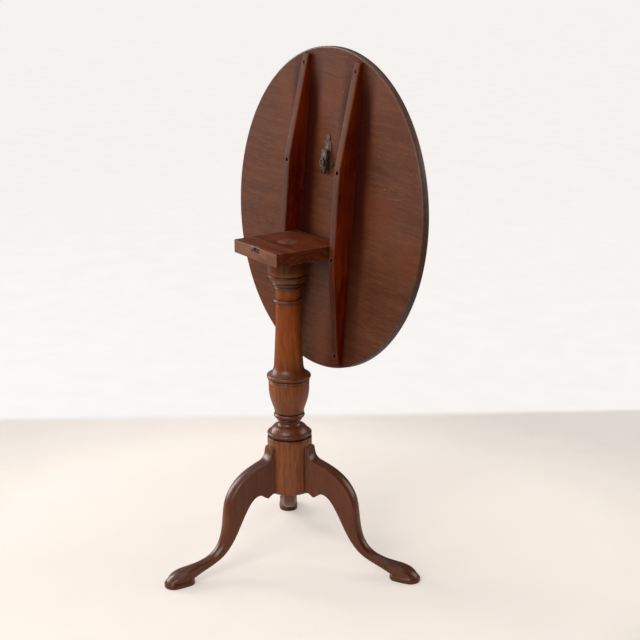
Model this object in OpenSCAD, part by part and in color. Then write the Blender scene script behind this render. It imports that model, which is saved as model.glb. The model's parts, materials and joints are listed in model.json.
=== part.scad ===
// Tilt-top tripod table, shown with its round top raised.
// Millimetres, +Z up, X along the tilt pivots, polished face towards -Y.

/* [Top] */
// Radius of the round board
top_r = 328; // [250:1:450]
// Thickness of the board
top_t = 15.5; // [12:0.5:24]
// Rounding of the board's edge
top_edge = 3; // [1:0.5:5]
// How far the raised board leans past upright, in degrees
lean = 4.9; // [0:0.1:12]

/* [Bearers] */
// Width of each bearer
bearer_w = 20; // [14:0.5:30]
// Depth of a bearer over the block
bearer_d = 39; // [32:0.5:50]
// Half length of a bearer
bearer_l = 306; // [220:1:330]
// Depth at the end above the catch
bearer_tip_hi = 8; // [6:0.5:14]
// Depth at the other end
bearer_tip_lo = 12.5; // [6:0.5:18]
// Reach of the full-depth length from the board's middle
bearer_full = 98; // [80:1:130]
// Side gap between a bearer and the block
side_gap = 1; // [0.5:0.1:2]
// Distance of the outer screws from the board's middle
screw_out = 288; // [200:1:300]
// Distance of the inner screws from the board's middle
screw_in = 88; // [60:1:110]

/* [Block] */
// Height of the block's top face above the floor
block_z = 690; // [600:1:760]
// Half width of the block along the pivots
block_x = 80; // [60:0.5:100]
// Distance from the column axis to the catch face
block_front = 77; // [60:0.5:100]
// Distance from the column axis to the pivots
pivot_back = 71.5; // [50:0.5:95]
// Thickness of the block
block_t = 27; // [22:0.5:40]
// Gap between the block and the board
rest_gap = 0.3; // [0.2:0.1:1]
// Radius of the pivot pins
pin_r = 9; // [6:0.5:11]
// Length of the pivot pins
pin_l = 16; // [10:0.5:18]
// Radial clearance of the pins in the bearers
pin_fit = 0.08; // [0.02:0.01:0.1]

/* [Column] */
// Radius of the plain cap under the block
cap_r = 40.7; // [34:0.1:50]
// Height of the plain cap
cap_h = 40; // [25:1:55]
// Radius of the shaft near its top
shaft_r = 25.6; // [18:0.1:30]
// Radius of the shaft where it spreads to the collar
shaft_low_r = 29.8; // [24:0.1:34]
// Height of the collar above the floor
collar_z = 405.5; // [380:0.5:440]
// Radius of the collar
collar_r = 45.9; // [38:0.1:52]
// Radius of the bell under the collar
bell_r = 42.4; // [36:0.1:46]
// Radius of the ring at the bell's foot
ring_r = 31.7; // [27:0.1:36]
// Radius of the narrow neck over the hub
neck_r = 23.2; // [18:0.1:26]
// Radius of the hub that carries the legs
hub_r = 46.6; // [40:0.1:55]
// Height of the hub's top groove
hub_top = 268; // [240:1:300]
// Height of the hub's lower end
hub_low = 155; // [120:1:180]
// Radius of the tenon through the block
tenon_r = 19; // [14:0.5:24]

/* [Legs] */
// Distance from the column axis to the middle of a pad
foot_r = 268; // [230:1:320]
// Half length of a pad
pad_l = 32.8; // [26:0.1:40]
// Half width of a pad
pad_w = 20.7; // [16:0.1:26]
// Width of a leg at the hub
leg_w = 29; // [22:0.5:34]
// Width of a leg at the ankle
ankle_w = 22; // [16:0.5:28]
// Height of the leg's shoulder against the hub
shoulder_z = 257; // [230:1:262]
// How far the hub and legs stand turned from the block, in degrees
leg_turn = -1.8; // [-4:0.1:4]
// Depth of a dovetail in the hub
tail_d = 16; // [10:0.5:20]
// Glue line left round a tail or tenon
glue = 0.05; // [0.02:0.01:0.1]

/* [Catch] */
// Distance of the bolt's axis under the board
bolt_drop = 5.6; // [5:0.1:8]
// Radius of the bolt's nose
bolt_r = 2.9; // [2:0.1:3]
// Reach of the bolt behind the catch face
bolt_in = 6; // [4:0.5:7]
// Travel of the bolt
bolt_stroke = 8; // [7:0.5:9]
// Thickness of the catch's back plate
plate_t = 1.5; // [1:0.1:2]
// Distance from the board to the outside of the case
case_out = 10; // [9:0.1:13]
// Half width of the case
case_w = 9; // [7:0.5:12]
// Length of the case
case_l = 40; // [34:1:48]
// Radius of the knob
knob_r = 8; // [6:0.5:10]

/* [Hub plate] */
// Thickness of the iron plate under the hub
iron_t = 2; // [1.5:0.1:3]
// How far its three arms reach past the hub
iron_past = 3.4; // [2:0.1:4.5]
// Distance of the outer nails inside the hub's face
nail_in = 7.6; // [5:0.1:9]

/* [Hidden] */
$fn = 96;
pivot_z = block_z - block_t / 2;
under_z = block_z + rest_gap;
bearer_in = block_x + side_gap;
block_low = block_z - block_t;
cap_low = block_low - cap_h;
pad_mid = pad_l - pad_w;
reach_front = foot_r + pad_l;
reach_back = (foot_r + pad_mid) * cos(60 - abs(leg_turn)) + pad_w;
leg_dirs = [90 + leg_turn, 210 + leg_turn, 330 + leg_turn];
col_y = (reach_back - reach_front) / 2;
pin_gap = 1;
iron_reach = hub_r + iron_past;
nail_ring = hub_r - nail_in;
seat_end = 6.5;
seat_mid = 18;
screw_bite = 10;
screw_r = 2.25;
screw_head = 4.4;
catch_y = block_front + 1.5;
case_y = catch_y + 2.5;
body_y = case_y + 9;
body_l = 12;
wall = 3;
bolt_z = under_z - bolt_drop;
knob_y = body_y + 5;
stem_r = 1.8;
strike_w = 16;
strike_t = 1.2;
strike_h = 11;
strike_z = block_z - 1 - strike_h / 2;
wood = [0.42, 0.24, 0.15];
dark = [0.30, 0.12, 0.08];
bright = [0.70, 0.58, 0.34];
bronze = [0.36, 0.27, 0.18];
iron = [0.20, 0.19, 0.18];

// Points of a cubic curve from p to q, bent towards c and d.
function curve(p, c, d, q, n = 8) =
  [for (i = [1:n]) let (t = i / n, u = 1 - t)
    u * u * u * p + 3 * u * u * t * c + 3 * u * t * t * d + t * t * t * q];

// Points of an arc about m.
function arc(m, r, a, b, n = 8) =
  [for (i = [0:n]) let (t = a + (b - a) * i / n) m + r * [cos(t), sin(t)]];

// Puts the column's axis where the table's outline is centred on the origin.
module place() {
  translate([0, col_y, 0]) children();
}

// Swings what is drawn with the board flat into the raised position.
module raise_top() {
  place()
    translate([0, -pivot_back, pivot_z])
      rotate([90 + lean, 0, 0])
        translate([0, pivot_back, -pivot_z])
          children();
}

// A disc standing on the X axis direction.
module x_rod(r, a, b, y, z) {
  translate([a, y, z]) rotate([0, 90, 0]) cylinder(r = r, h = b - a);
}

// Depth of a bearer at a distance from the board's middle.
function bearer_at(y) = abs(y) <= bearer_full ? bearer_d
  : y > 0 ? bearer_d + (bearer_tip_hi - bearer_d) * (y - bearer_full) / (bearer_l - bearer_full)
  : bearer_d + (bearer_tip_lo - bearer_d) * (-y - bearer_full) / (bearer_l - bearer_full);

// Places along a bearer where it is screwed to the board, with each head's seat.
screw_at = [[screw_out, seat_end], [screw_in, seat_mid], [-screw_in, seat_mid], [-screw_out, seat_end]];
bearer_mid = bearer_in + bearer_w / 2;
catch_holes = [[0, case_y + case_l + 5], [-17.5, case_y + 14], [17.5, case_y + 14]];

module table_top() {
  color(wood) raise_top() difference() {
    translate([0, 0, under_z]) rotate_extrude($fn = 180) union() {
      square([top_r - top_edge, top_t]);
      translate([0, top_edge]) square([top_r, top_t - 2 * top_edge]);
      translate([top_r - top_edge, top_edge]) circle(r = top_edge, $fn = 32);
      translate([top_r - top_edge, top_t - top_edge]) circle(r = top_edge, $fn = 32);
    }
    for (s = [-1, 1], p = screw_at)
      translate([s * bearer_mid, p[0], under_z - 1]) cylinder(r = screw_r + 0.05, h = screw_bite + 1.5);
    for (p = catch_holes)
      translate([p[0], p[1], under_z - 1]) cylinder(r = 1.25, h = 9.5);
  }
}

module bearer(s) {
  difference() {
    mirror([s > 0 ? 0 : 1, 0, 0]) translate([bearer_in, 0, 0]) rotate([90, 0, 90])
      linear_extrude(bearer_w) polygon([
        [bearer_l, under_z], [bearer_l, under_z - bearer_tip_hi], [bearer_full, under_z - bearer_d],
        [-bearer_full, under_z - bearer_d], [-bearer_l, under_z - bearer_tip_lo], [-bearer_l, under_z]]);
    mirror([s > 0 ? 0 : 1, 0, 0])
      x_rod(pin_r + pin_fit, bearer_in - 1, block_x + pin_l + pin_gap, -pivot_back, pivot_z);
    for (p = screw_at) translate([s * bearer_mid, p[0], 0]) {
      translate([0, 0, under_z - p[1] - 60]) cylinder(r = screw_head + 0.2, h = 60);
      translate([0, 0, under_z - p[1] - 1]) cylinder(r = screw_r + 0.05, h = p[1] + 2);
    }
  }
}

module bearer_left() {
  color(dark) raise_top() bearer(1);
}

module bearer_right() {
  color(dark) raise_top() bearer(-1);
}

// A slotted screw driven up from its seat into the board.
module wood_screw(seat, bite, r, head, thick) {
  difference() {
    union() {
      translate([0, 0, -thick]) cylinder(r = head, h = thick);
      translate([0, 0, -0.01]) cylinder(r = r, h = seat + bite);
    }
    translate([-head - 1, -0.5, -thick - 1]) cube([2 * head + 2, 1, 2]);
  }
}

module bearer_screws(s) {
  for (p = screw_at)
    translate([s * bearer_mid, p[0], under_z - p[1]])
      wood_screw(p[1], screw_bite, screw_r, screw_head, 2.4);
}

module bearer_screws_left() {
  color(iron) raise_top() bearer_screws(1);
}

module bearer_screws_right() {
  color(iron) raise_top() bearer_screws(-1);
}

// Side outline of the block: square at the catch, round about the pivots behind.
module block_side() {
  r = block_t / 2;
  t = [-pivot_back - r * cos(lean), pivot_z - r * sin(lean)];
  drop = t[1] - block_low;
  polygon([[block_front, block_low], [block_front, block_z], [-pivot_back, block_z],
    [-pivot_back, pivot_z], t, [t[0] + drop * tan(lean), block_low]]);
  intersection() {
    translate([-pivot_back, pivot_z]) circle(r = r);
    translate([-pivot_back - r, pivot_z - r * sin(lean)]) square([r, r * 2]);
  }
}

module pivot_block() {
  color(wood) place() difference() {
    union() {
      translate([-block_x, 0, 0]) rotate([90, 0, 90]) linear_extrude(2 * block_x) block_side();
      x_rod(pin_r, -block_x - pin_l, block_x + pin_l, -pivot_back, pivot_z);
    }
    translate([0, 0, block_low - 1]) cylinder(r = tenon_r + glue, h = block_t + 2);
    translate([-strike_w - 0.05, block_front - strike_t - 0.05, strike_z - strike_h / 2 - 0.05])
      cube([2 * strike_w + 0.1, strike_t + 1, strike_h + 0.1]);
    translate([0, block_front + 1, bolt_z]) rotate([90, 0, 0]) cylinder(r = bolt_r + 1, h = bolt_in + 4);
    for (s = [-1, 1])
      translate([s * 11.5, block_front + 1, strike_z]) rotate([90, 0, 0]) cylinder(r = 1.05, h = 13.5);
  }
}

module strike_plate() {
  color(bright) place() difference() {
    translate([-strike_w, block_front - strike_t, strike_z - strike_h / 2])
      cube([2 * strike_w, strike_t, strike_h]);
    translate([0, block_front + 1, bolt_z]) rotate([90, 0, 0]) cylinder(r = bolt_r + 0.5, h = 4);
    for (s = [-1, 1])
      translate([s * 11.5, block_front + 1, strike_z]) rotate([90, 0, 0]) cylinder(r = 1.05, h = 4);
  }
}

module strike_pins() {
  color(bronze) place()
    for (s = [-1, 1])
      translate([s * 11.5, block_front, strike_z]) rotate([90, 0, 0]) cylinder(r = 1, h = 12);
}

// Half outline of the turned column, from the hub's foot up to the end of the tenon.
function column_outline() = concat(
  [[0, hub_low], [hub_r - 1, hub_low], [hub_r, hub_low + 1], [hub_r, hub_top - 2],
    [hub_r - 2, hub_top - 1.5], [hub_r - 2, hub_top + 1]],
  curve([hub_r - 0.2, hub_top + 2], [hub_r + 0.8, hub_top + 16], [hub_r - 5, hub_top + 22],
    [hub_r - 9, hub_top + 25]),
  curve([hub_r - 10.5, hub_top + 25.5], [neck_r + 2, hub_top + 31], [neck_r - 0.5, hub_top + 35],
    [neck_r, hub_top + 40]),
  curve([neck_r, hub_top + 41], [neck_r + 0.5, hub_top + 45], [neck_r + 3, hub_top + 46],
    [ring_r - 3.5, hub_top + 46.5], 4),
  arc([ring_r - 4, hub_top + 52.5], 4.6, -80, 80),
  [[ring_r - 1.5, hub_top + 59.5], [ring_r - 0.6, hub_top + 62]],
  curve([ring_r - 0.2, hub_top + 65], [ring_r + 3, hub_top + 76], [bell_r - 0.8, hub_top + 88],
    [bell_r - 0.3, collar_z - 24]),
  [[bell_r, collar_z - 14.5], [bell_r - 1.2, collar_z - 13.5], [bell_r + 0.2, collar_z - 12],
    [bell_r + 0.6, collar_z - 6.5]],
  arc([collar_r - 4, collar_z], 4.6, -70, 75),
  curve([collar_r - 5, collar_z + 6.5], [shaft_low_r + 6, collar_z + 9], [shaft_low_r + 1.5, collar_z + 13],
    [shaft_low_r + 0.8, collar_z + 23]),
  curve([shaft_low_r, collar_z + 34], [shaft_low_r - 1, collar_z + 60], [shaft_r + 0.5, collar_z + 95],
    [shaft_r, collar_z + 135], 6),
  [[shaft_r, cap_low - 57.5]],
  arc([shaft_r + 1, cap_low - 55], 3.2, -60, 60, 6),
  [[shaft_r, cap_low - 52.5], [shaft_r - 0.3, cap_low - 30]],
  arc([shaft_r - 0.2, cap_low - 27.5], 2, -70, 70, 4),
  [[shaft_r + 2, cap_low - 25], [shaft_r + 3.5, cap_low - 21.5]],
  arc([shaft_r + 4, cap_low - 19.5], 1.8, -70, 70, 4),
  curve([shaft_r + 6, cap_low - 17], [cap_r - 5, cap_low - 14], [cap_r - 1.2, cap_low - 9],
    [cap_r - 1, cap_low - 2]),
  [[cap_r - 2.6, cap_low - 1.5], [cap_r - 2.6, cap_low + 0.5], [cap_r, cap_low + 1], [cap_r, block_low],
    [tenon_r, block_low], [tenon_r, block_z], [0, block_z]]);

// Plan of a dovetail, grown all round by g.
module tail_plan(g) {
  root = hub_r - tail_d;
  polygon([[root - g, -9 - g], [root - g, 9 + g], [hub_r + 4, 5.2 + g], [hub_r + 4, -5.2 - g]]);
}

module column() {
  color(wood) place() difference() {
    rotate_extrude() polygon(column_outline());
    for (a = leg_dirs) rotate(a)
      translate([0, 0, hub_low - 1]) linear_extrude(shoulder_z - 12 - hub_low + 1 + glue) tail_plan(glue);
    translate([0, 0, block_z - 20]) wedge(glue);
    for (a = leg_dirs) rotate(a + 60) translate([24, 0, hub_low - 1]) cylinder(r = 1.25, h = 15.5);
  }
}

// The wedge that spreads the tenon, grown by g.
module wedge(g) {
  translate([-tenon_r * 0.85 - g, 0, 0]) rotate([90, 0, 90]) linear_extrude(tenon_r * 1.7 + 2 * g)
    polygon([[-0.6 - g, -g], [0.6 + g, -g], [1.7 + g, 20], [1.7 + g, 20 + g * 20], [-1.7 - g, 20 + g * 20],
      [-1.7 - g, 20]]);
}

module tenon_wedge() {
  color(dark) place() intersection() {
    translate([0, 0, block_z - 20]) wedge(0);
    translate([-50, -50, 0]) cube([100, 100, block_z]);
  }
}

// Upper edge of a leg seen from the side, from the hub over the knee to the toe.
function leg_top() = let (h = hub_r - 6, g = hub_r - 46.6, f = foot_r - 268) concat(
  [[h, shoulder_z], [hub_r + 4.5, shoulder_z]],
  curve([hub_r + 4.8, shoulder_z - 2], [hub_r + 7, 234], [hub_r + 13, 230], [74 + g, 227]),
  curve([74 + g, 227], [110 + g / 2, 217.5], [151, 191], [158.5 + f / 2, 145], 12),
  curve([158.5 + f / 2, 145], [165 + f / 2, 106], [161 + f, 58], [207 + f, 43.5], 12),
  curve([207 + f, 43.5], [223 + f, 38.5], [243 + f, 36.5], [262 + f, 32.5]),
  curve([262 + f, 32.5], [280 + f, 28.5], [291 + f, 20], [294 + f, 8]));

// Lower edge of a leg, from the pad back up to the hub.
function leg_under() = let (h = hub_r - 6, g = hub_r - 46.6, f = foot_r - 268) concat(
  [[293 + f, 4], [244 + f, 4]],
  curve([240 + f, 11.5], [222 + f, 17], [200 + f, 24], [180 + f, 34.5]),
  curve([180 + f, 34.5], [148 + f, 52], [133 + f / 2, 90], [119 + f / 2, 117], 12),
  curve([119 + f / 2, 117], [105 + g / 2, 143], [95 + g, 158], [80 + g, 158]),
  curve([80 + g, 158], [73 + g, 157], [70 + g, 151], [62 + g, 147.5], 4),
  [[60.5 + g, 147.5]],
  curve([60.5 + g, 147.5], [57 + g, 151], [54 + g, 152], [hub_r + 5, hub_low], 4),
  [[h, hub_low]]);

// A point moved along the knee's slant, so that a tilted board keeps its outline.
function slant(p, k) = p + (k - 1) * (p[0] + p[1]) / 2 * [1, 1];

// A board whose upper edge is the leg's, tilted by a so that it falls away to one side.
module crown_board(a) {
  rise = 1.1;
  open = concat(leg_top(), [[foot_r + 60, 0], [foot_r + 60, -200], [-200, -200], [-200, shoulder_z]]);
  translate([rise, 0, rise]) rotate(v = [1, 0, -1], a = a) rotate([90, 0, 0])
    translate([0, 0, -200]) linear_extrude(400) polygon([for (p = open) slant(p, cos(a))]);
}

// Plan of a leg, narrowing from the hub to the ankle.
module leg_plan() {
  a = leg_w / 2;
  b = ankle_w / 2;
  side = concat([[hub_r - 8, a]], curve([hub_r + 20, a], [150, a - 0.5], [170, b], [foot_r - 55, b]),
    curve([foot_r - 50, b], [foot_r - 30, b], [foot_r - 20, b + 2], [foot_r - 10, b + 3]),
    [[foot_r + pad_l, b + 3]]);
  polygon(concat(side, [for (i = [len(side) - 1:-1:0]) [side[i][0], -side[i][1]]]));
}

// Half outline of a pad: a low cushion with a domed top.
function pad_outline() = concat([[0, 0], [pad_w - 2.8, 0]],
  curve([pad_w - 2.2, 0.2], [pad_w - 0.6, 0.8], [pad_w, 2], [pad_w, 4], 4),
  curve([pad_w, 4], [pad_w - 0.6, 12], [pad_w - 3, 19], [pad_w - 8, 24], 6),
  curve([pad_w - 8, 24], [pad_w - 12, 28], [5, 30.5], [0, 31], 4));

module pad() {
  for (x = [-pad_mid, pad_mid]) translate([x, 0, 0]) rotate_extrude() polygon(pad_outline());
  translate([-pad_mid, 0, 0]) rotate([90, 0, 90]) linear_extrude(2 * pad_mid) union() {
    polygon(pad_outline());
    mirror([1, 0]) polygon(pad_outline());
  }
}

module leg(angle) {
  rotate(angle) difference() {
    union() {
      difference() {
        intersection() {
          rotate([90, 0, 0]) translate([0, 0, -leg_w]) linear_extrude(2 * leg_w)
            polygon(concat(leg_top(), leg_under()));
          crown_board(20);
          crown_board(-20);
          translate([0, 0, -1]) linear_extrude(shoulder_z + 2) leg_plan();
        }
        translate([0, 0, hub_low - 20]) cylinder(r = hub_r + glue, h = 200);
      }
      translate([0, 0, hub_low]) linear_extrude(shoulder_z - 12 - hub_low) tail_plan(0);
      translate([foot_r, 0, 0]) pad();
    }
    translate([nail_ring, 0, hub_low - 1]) cylinder(r = 1.25, h = 15.5);
  }
}

module leg_front() {
  color(wood) place() leg(leg_dirs[0]);
}

module leg_left() {
  color(wood) place() leg(leg_dirs[2]);
}

module leg_right() {
  color(wood) place() leg(leg_dirs[1]);
}

module hub_plate() {
  color(iron) place() translate([0, 0, hub_low - iron_t]) linear_extrude(iron_t) difference() {
    union() {
      circle(r = 31);
      for (a = leg_dirs) rotate(a) {
        translate([0, -8]) square([iron_reach - 8, 16]);
        translate([iron_reach - 8, 0]) circle(r = 8);
      }
    }
    for (a = leg_dirs) rotate(a) translate([nail_ring, 0]) circle(r = 1.3);
    for (a = leg_dirs) rotate(a + 60) translate([24, 0]) circle(r = 1.3);
  }
}

// A round-headed nail driven up from below the plate.
module nail() {
  cylinder(r = 1.2, h = iron_t + 13);
  translate([0, 0, -1.4]) cylinder(r = 3, h = 1.4);
}

module hub_nails() {
  color(iron) place() translate([0, 0, hub_low - iron_t]) {
    for (a = leg_dirs) rotate(a) translate([nail_ring, 0, 0]) nail();
    for (a = leg_dirs) rotate(a + 60) translate([24, 0, 0]) nail();
  }
}

// Outline of the catch's back plate: round nose, two ears, a waist and a pointed finial.
module catch_outline() {
  y = case_y;
  end = y + case_l + 17;
  side = concat([[6, catch_y + 1]],
    curve([9, y + 4], [15, y + 5], [21, y + 6], [24, y + 12]),
    curve([24, y + 12], [24, y + 20], [15, y + 21], [12, y + 30]),
    [[12, end - 5]],
    curve([12, end - 2], [9, end + 1], [4, end - 1], [3, end + 2], 4),
    curve([3, end + 2], [5, end + 6], [3, end + 11], [0, end + 15], 4));
  polygon(concat(side, [for (i = [len(side) - 2:-1:0]) [-side[i][0], side[i][1]]]));
}

module catch_plate() {
  color(bronze) raise_top() difference() {
    translate([0, 0, under_z - plate_t]) linear_extrude(plate_t) catch_outline();
    for (p = catch_holes) translate([p[0], p[1], under_z - plate_t - 1]) cylinder(r = 1.3, h = 5);
  }
}

module catch_case() {
  low = under_z - case_out;
  z0 = bolt_z - bolt_r - 0.1;
  color(bright) raise_top() difference() {
    translate([-case_w, case_y, low]) cube([2 * case_w, case_l, case_out - plate_t]);
    translate([-4.6, case_y + wall, z0]) cube([9.2, case_l - 2 * wall, 2 * bolt_r + 0.2]);
    translate([0, case_y + wall + 1, bolt_z]) rotate([90, 0, 0]) cylinder(r = bolt_r + 0.07, h = wall + 2);
    translate([-stem_r - 0.3, knob_y - stem_r - 0.4, low - 1])
      cube([2 * stem_r + 0.6, bolt_stroke + 2 * stem_r + 0.8, 4]);
  }
}

module catch_bolt() {
  nose_y = block_front - bolt_in;
  low = bolt_z - bolt_r;
  color(iron) raise_top() difference() {
    union() {
      translate([0, body_y + 0.01, bolt_z]) rotate([90, 0, 0]) cylinder(r = bolt_r, h = body_y - nose_y);
      translate([-4.5, body_y, bolt_z - bolt_r]) cube([9, body_l, 2 * bolt_r]);
    }
    translate([-5, 0, 0]) rotate([90, 0, 90]) linear_extrude(10)
      polygon([[nose_y - 1, low - 1], [nose_y - 1, low + 5], [nose_y + 5, low - 1]]);
    translate([0, knob_y, bolt_z - bolt_r - 1]) cylinder(r = stem_r + 0.05, h = 4);
  }
}

// Half outline of the knob, from its stem's end down to its dished face.
module catch_knob() {
  low = under_z - case_out;
  color(bright) raise_top() translate([0, knob_y, 0]) rotate_extrude() polygon(concat(
    [[0, bolt_z - bolt_r + 2.9], [stem_r, bolt_z - bolt_r + 2.9], [stem_r, low - 0.4], [3.2, low - 0.4],
      [3.2, low - 1.2]],
    curve([2.6, low - 1.6], [2.4, low - 2.4], [knob_r - 3, low - 2.2], [knob_r - 0.6, low - 2.6], 6),
    [[knob_r, low - 3.4], [knob_r, low - 4.6], [knob_r - 0.8, low - 5.4], [knob_r - 2.4, low - 5.4]],
    curve([knob_r - 2.8, low - 5], [knob_r - 4, low - 4], [2, low - 4], [0, low - 4], 4)));
}

// A sinuous wire-form spring between the bolt's shoulder and the end of the case.
module catch_spring() {
  y0 = body_y + body_l + 0.2;
  y1 = case_y + case_l - wall - 0.2;
  bends = 4;
  wire = 0.8;
  mid = (y1 - y0 - wire) / bends / 2;
  color(iron) raise_top() translate([0, y0 + wire / 2, bolt_z - 1.5]) linear_extrude(3) union() {
    for (i = [0:bends])
      translate([-2.2, i * 2 * mid - wire / 2]) square([4.4, wire]);
    for (i = [0:bends - 1])
      translate([i % 2 == 0 ? 2.2 : -2.2, (2 * i + 1) * mid]) intersection() {
        difference() {
          circle(r = mid + wire / 2);
          circle(r = mid - wire / 2);
        }
        translate([i % 2 == 0 ? 0 : -10, -10]) square([10, 20]);
      }
  }
}

module catch_screws() {
  color(bronze) raise_top()
    for (p = catch_holes) translate([p[0], p[1], under_z - plate_t])
      wood_screw(plate_t, 7.5, 1.2, 2.8, 1.2);
}

table_top();
bearer_left();
bearer_right();
bearer_screws_left();
bearer_screws_right();
pivot_block();
strike_plate();
strike_pins();
column();
tenon_wedge();
leg_front();
leg_left();
leg_right();
hub_plate();
hub_nails();
catch_plate();
catch_case();
catch_bolt();
catch_knob();
catch_spring();
catch_screws();
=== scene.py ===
"""Looks of a round tilt-top tripod table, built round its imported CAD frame.

Each sub-assembly is a class: its fields are real sizes in millimetres, its methods build meshes and
dress them in a finish. Places come from the frame's boxes, its mounts and its tilt joint.
"""

import json
import logging
import math
from collections.abc import Callable
from dataclasses import dataclass, field, replace
from enum import Enum
from functools import partial

import bmesh
import bpy
from mathutils import Matrix, Vector, noise

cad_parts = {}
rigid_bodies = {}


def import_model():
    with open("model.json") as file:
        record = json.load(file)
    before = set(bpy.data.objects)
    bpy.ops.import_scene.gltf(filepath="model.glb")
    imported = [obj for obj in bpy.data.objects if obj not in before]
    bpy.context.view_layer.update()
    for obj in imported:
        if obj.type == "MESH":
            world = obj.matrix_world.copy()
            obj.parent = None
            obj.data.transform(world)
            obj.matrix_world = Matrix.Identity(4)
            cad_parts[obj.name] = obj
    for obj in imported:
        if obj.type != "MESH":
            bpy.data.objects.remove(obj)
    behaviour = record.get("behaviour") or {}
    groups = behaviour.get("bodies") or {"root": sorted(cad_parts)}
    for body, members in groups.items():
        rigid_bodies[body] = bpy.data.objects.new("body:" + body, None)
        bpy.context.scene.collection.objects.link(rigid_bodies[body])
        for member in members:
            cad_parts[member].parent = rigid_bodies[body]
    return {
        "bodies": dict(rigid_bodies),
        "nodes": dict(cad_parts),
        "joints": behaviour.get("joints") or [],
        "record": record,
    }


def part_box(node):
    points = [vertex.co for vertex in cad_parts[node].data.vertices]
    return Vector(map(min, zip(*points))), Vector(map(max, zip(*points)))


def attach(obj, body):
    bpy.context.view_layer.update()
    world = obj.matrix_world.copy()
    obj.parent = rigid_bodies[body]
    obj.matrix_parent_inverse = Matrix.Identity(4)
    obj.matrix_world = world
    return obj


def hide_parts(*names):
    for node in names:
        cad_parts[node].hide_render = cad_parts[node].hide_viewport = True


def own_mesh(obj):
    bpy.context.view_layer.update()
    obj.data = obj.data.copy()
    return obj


log = logging.getLogger("table")
MM = 0.001
Point = tuple[float, float]
Socket = bpy.types.NodeSocket
Adder = Callable[..., Socket | None]


# ---------------------------------------------------------------- colour and nodes


def linear(hex_colour: str) -> tuple[float, float, float, float]:
    """Turn an sRGB hex colour into the linear values that shaders take.

    Args:
        hex_colour: six hex digits, such as "6a3a26".

    Returns:
        Red, green, blue and alpha.
    """
    parts = [int(hex_colour[i : i + 2], 16) / 255 for i in (0, 2, 4)]
    return (*[c / 12.92 if c <= 0.04045 else ((c + 0.055) / 1.055) ** 2.4 for c in parts], 1.0)


def add(
    tree: bpy.types.NodeTree, kind: str, values: dict | tuple = (), out: int | str = 0,
    stops: list | tuple = (), **settings: object,
) -> Socket | None:
    """Add a node with its settings, values and links.

    Args:
        tree: the node tree.
        kind: the node's type, without the "ShaderNode" in front.
        values: what its inputs take, in order or by name or number: a value, or the output that feeds it.
        out: name or number of the output that is wanted.
        stops: for a colour ramp, its (place, colour) pairs.
        settings: the node's own properties.

    Returns:
        The wanted output, or None from a node that has no outputs.
    """
    node = tree.nodes.new("ShaderNode" + kind)
    for name, value in settings.items():
        setattr(node, name, value)
    for place, colour in stops:
        ramp = node.color_ramp.elements
        step = ramp[0] if place == stops[0][0] else ramp[-1] if place == stops[-1][0] else ramp.new(place)
        step.position, step.color = place, colour
    for name, value in values.items() if isinstance(values, dict) else enumerate(values):
        if isinstance(value, Socket):
            tree.links.new(value, node.inputs[name])
        else:
            node.inputs[name].default_value = value
    return node.outputs[out] if node.outputs else None


def blank_material(name: str) -> tuple[bpy.types.Material, bpy.types.NodeTree]:
    """Make an empty node material.

    Args:
        name: the finish's name.

    Returns:
        The material and its node tree.
    """
    material = bpy.data.materials.new(name)
    material.use_nodes = True
    material.node_tree.nodes.clear()
    return material, material.node_tree


class Grain(Enum):
    """The axis of the piece that the wood's fibres follow."""

    X = 0
    Y = 1
    Z = 2


DIRT_AND_SHADE = "1c0a06"
OLD_POLISH_AND_SHADE = "2b1109"
BEARER_SHADOW_RED = "3a0b03"
CHIP = "b8957a"
AO_SAMPLES = 6


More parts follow.
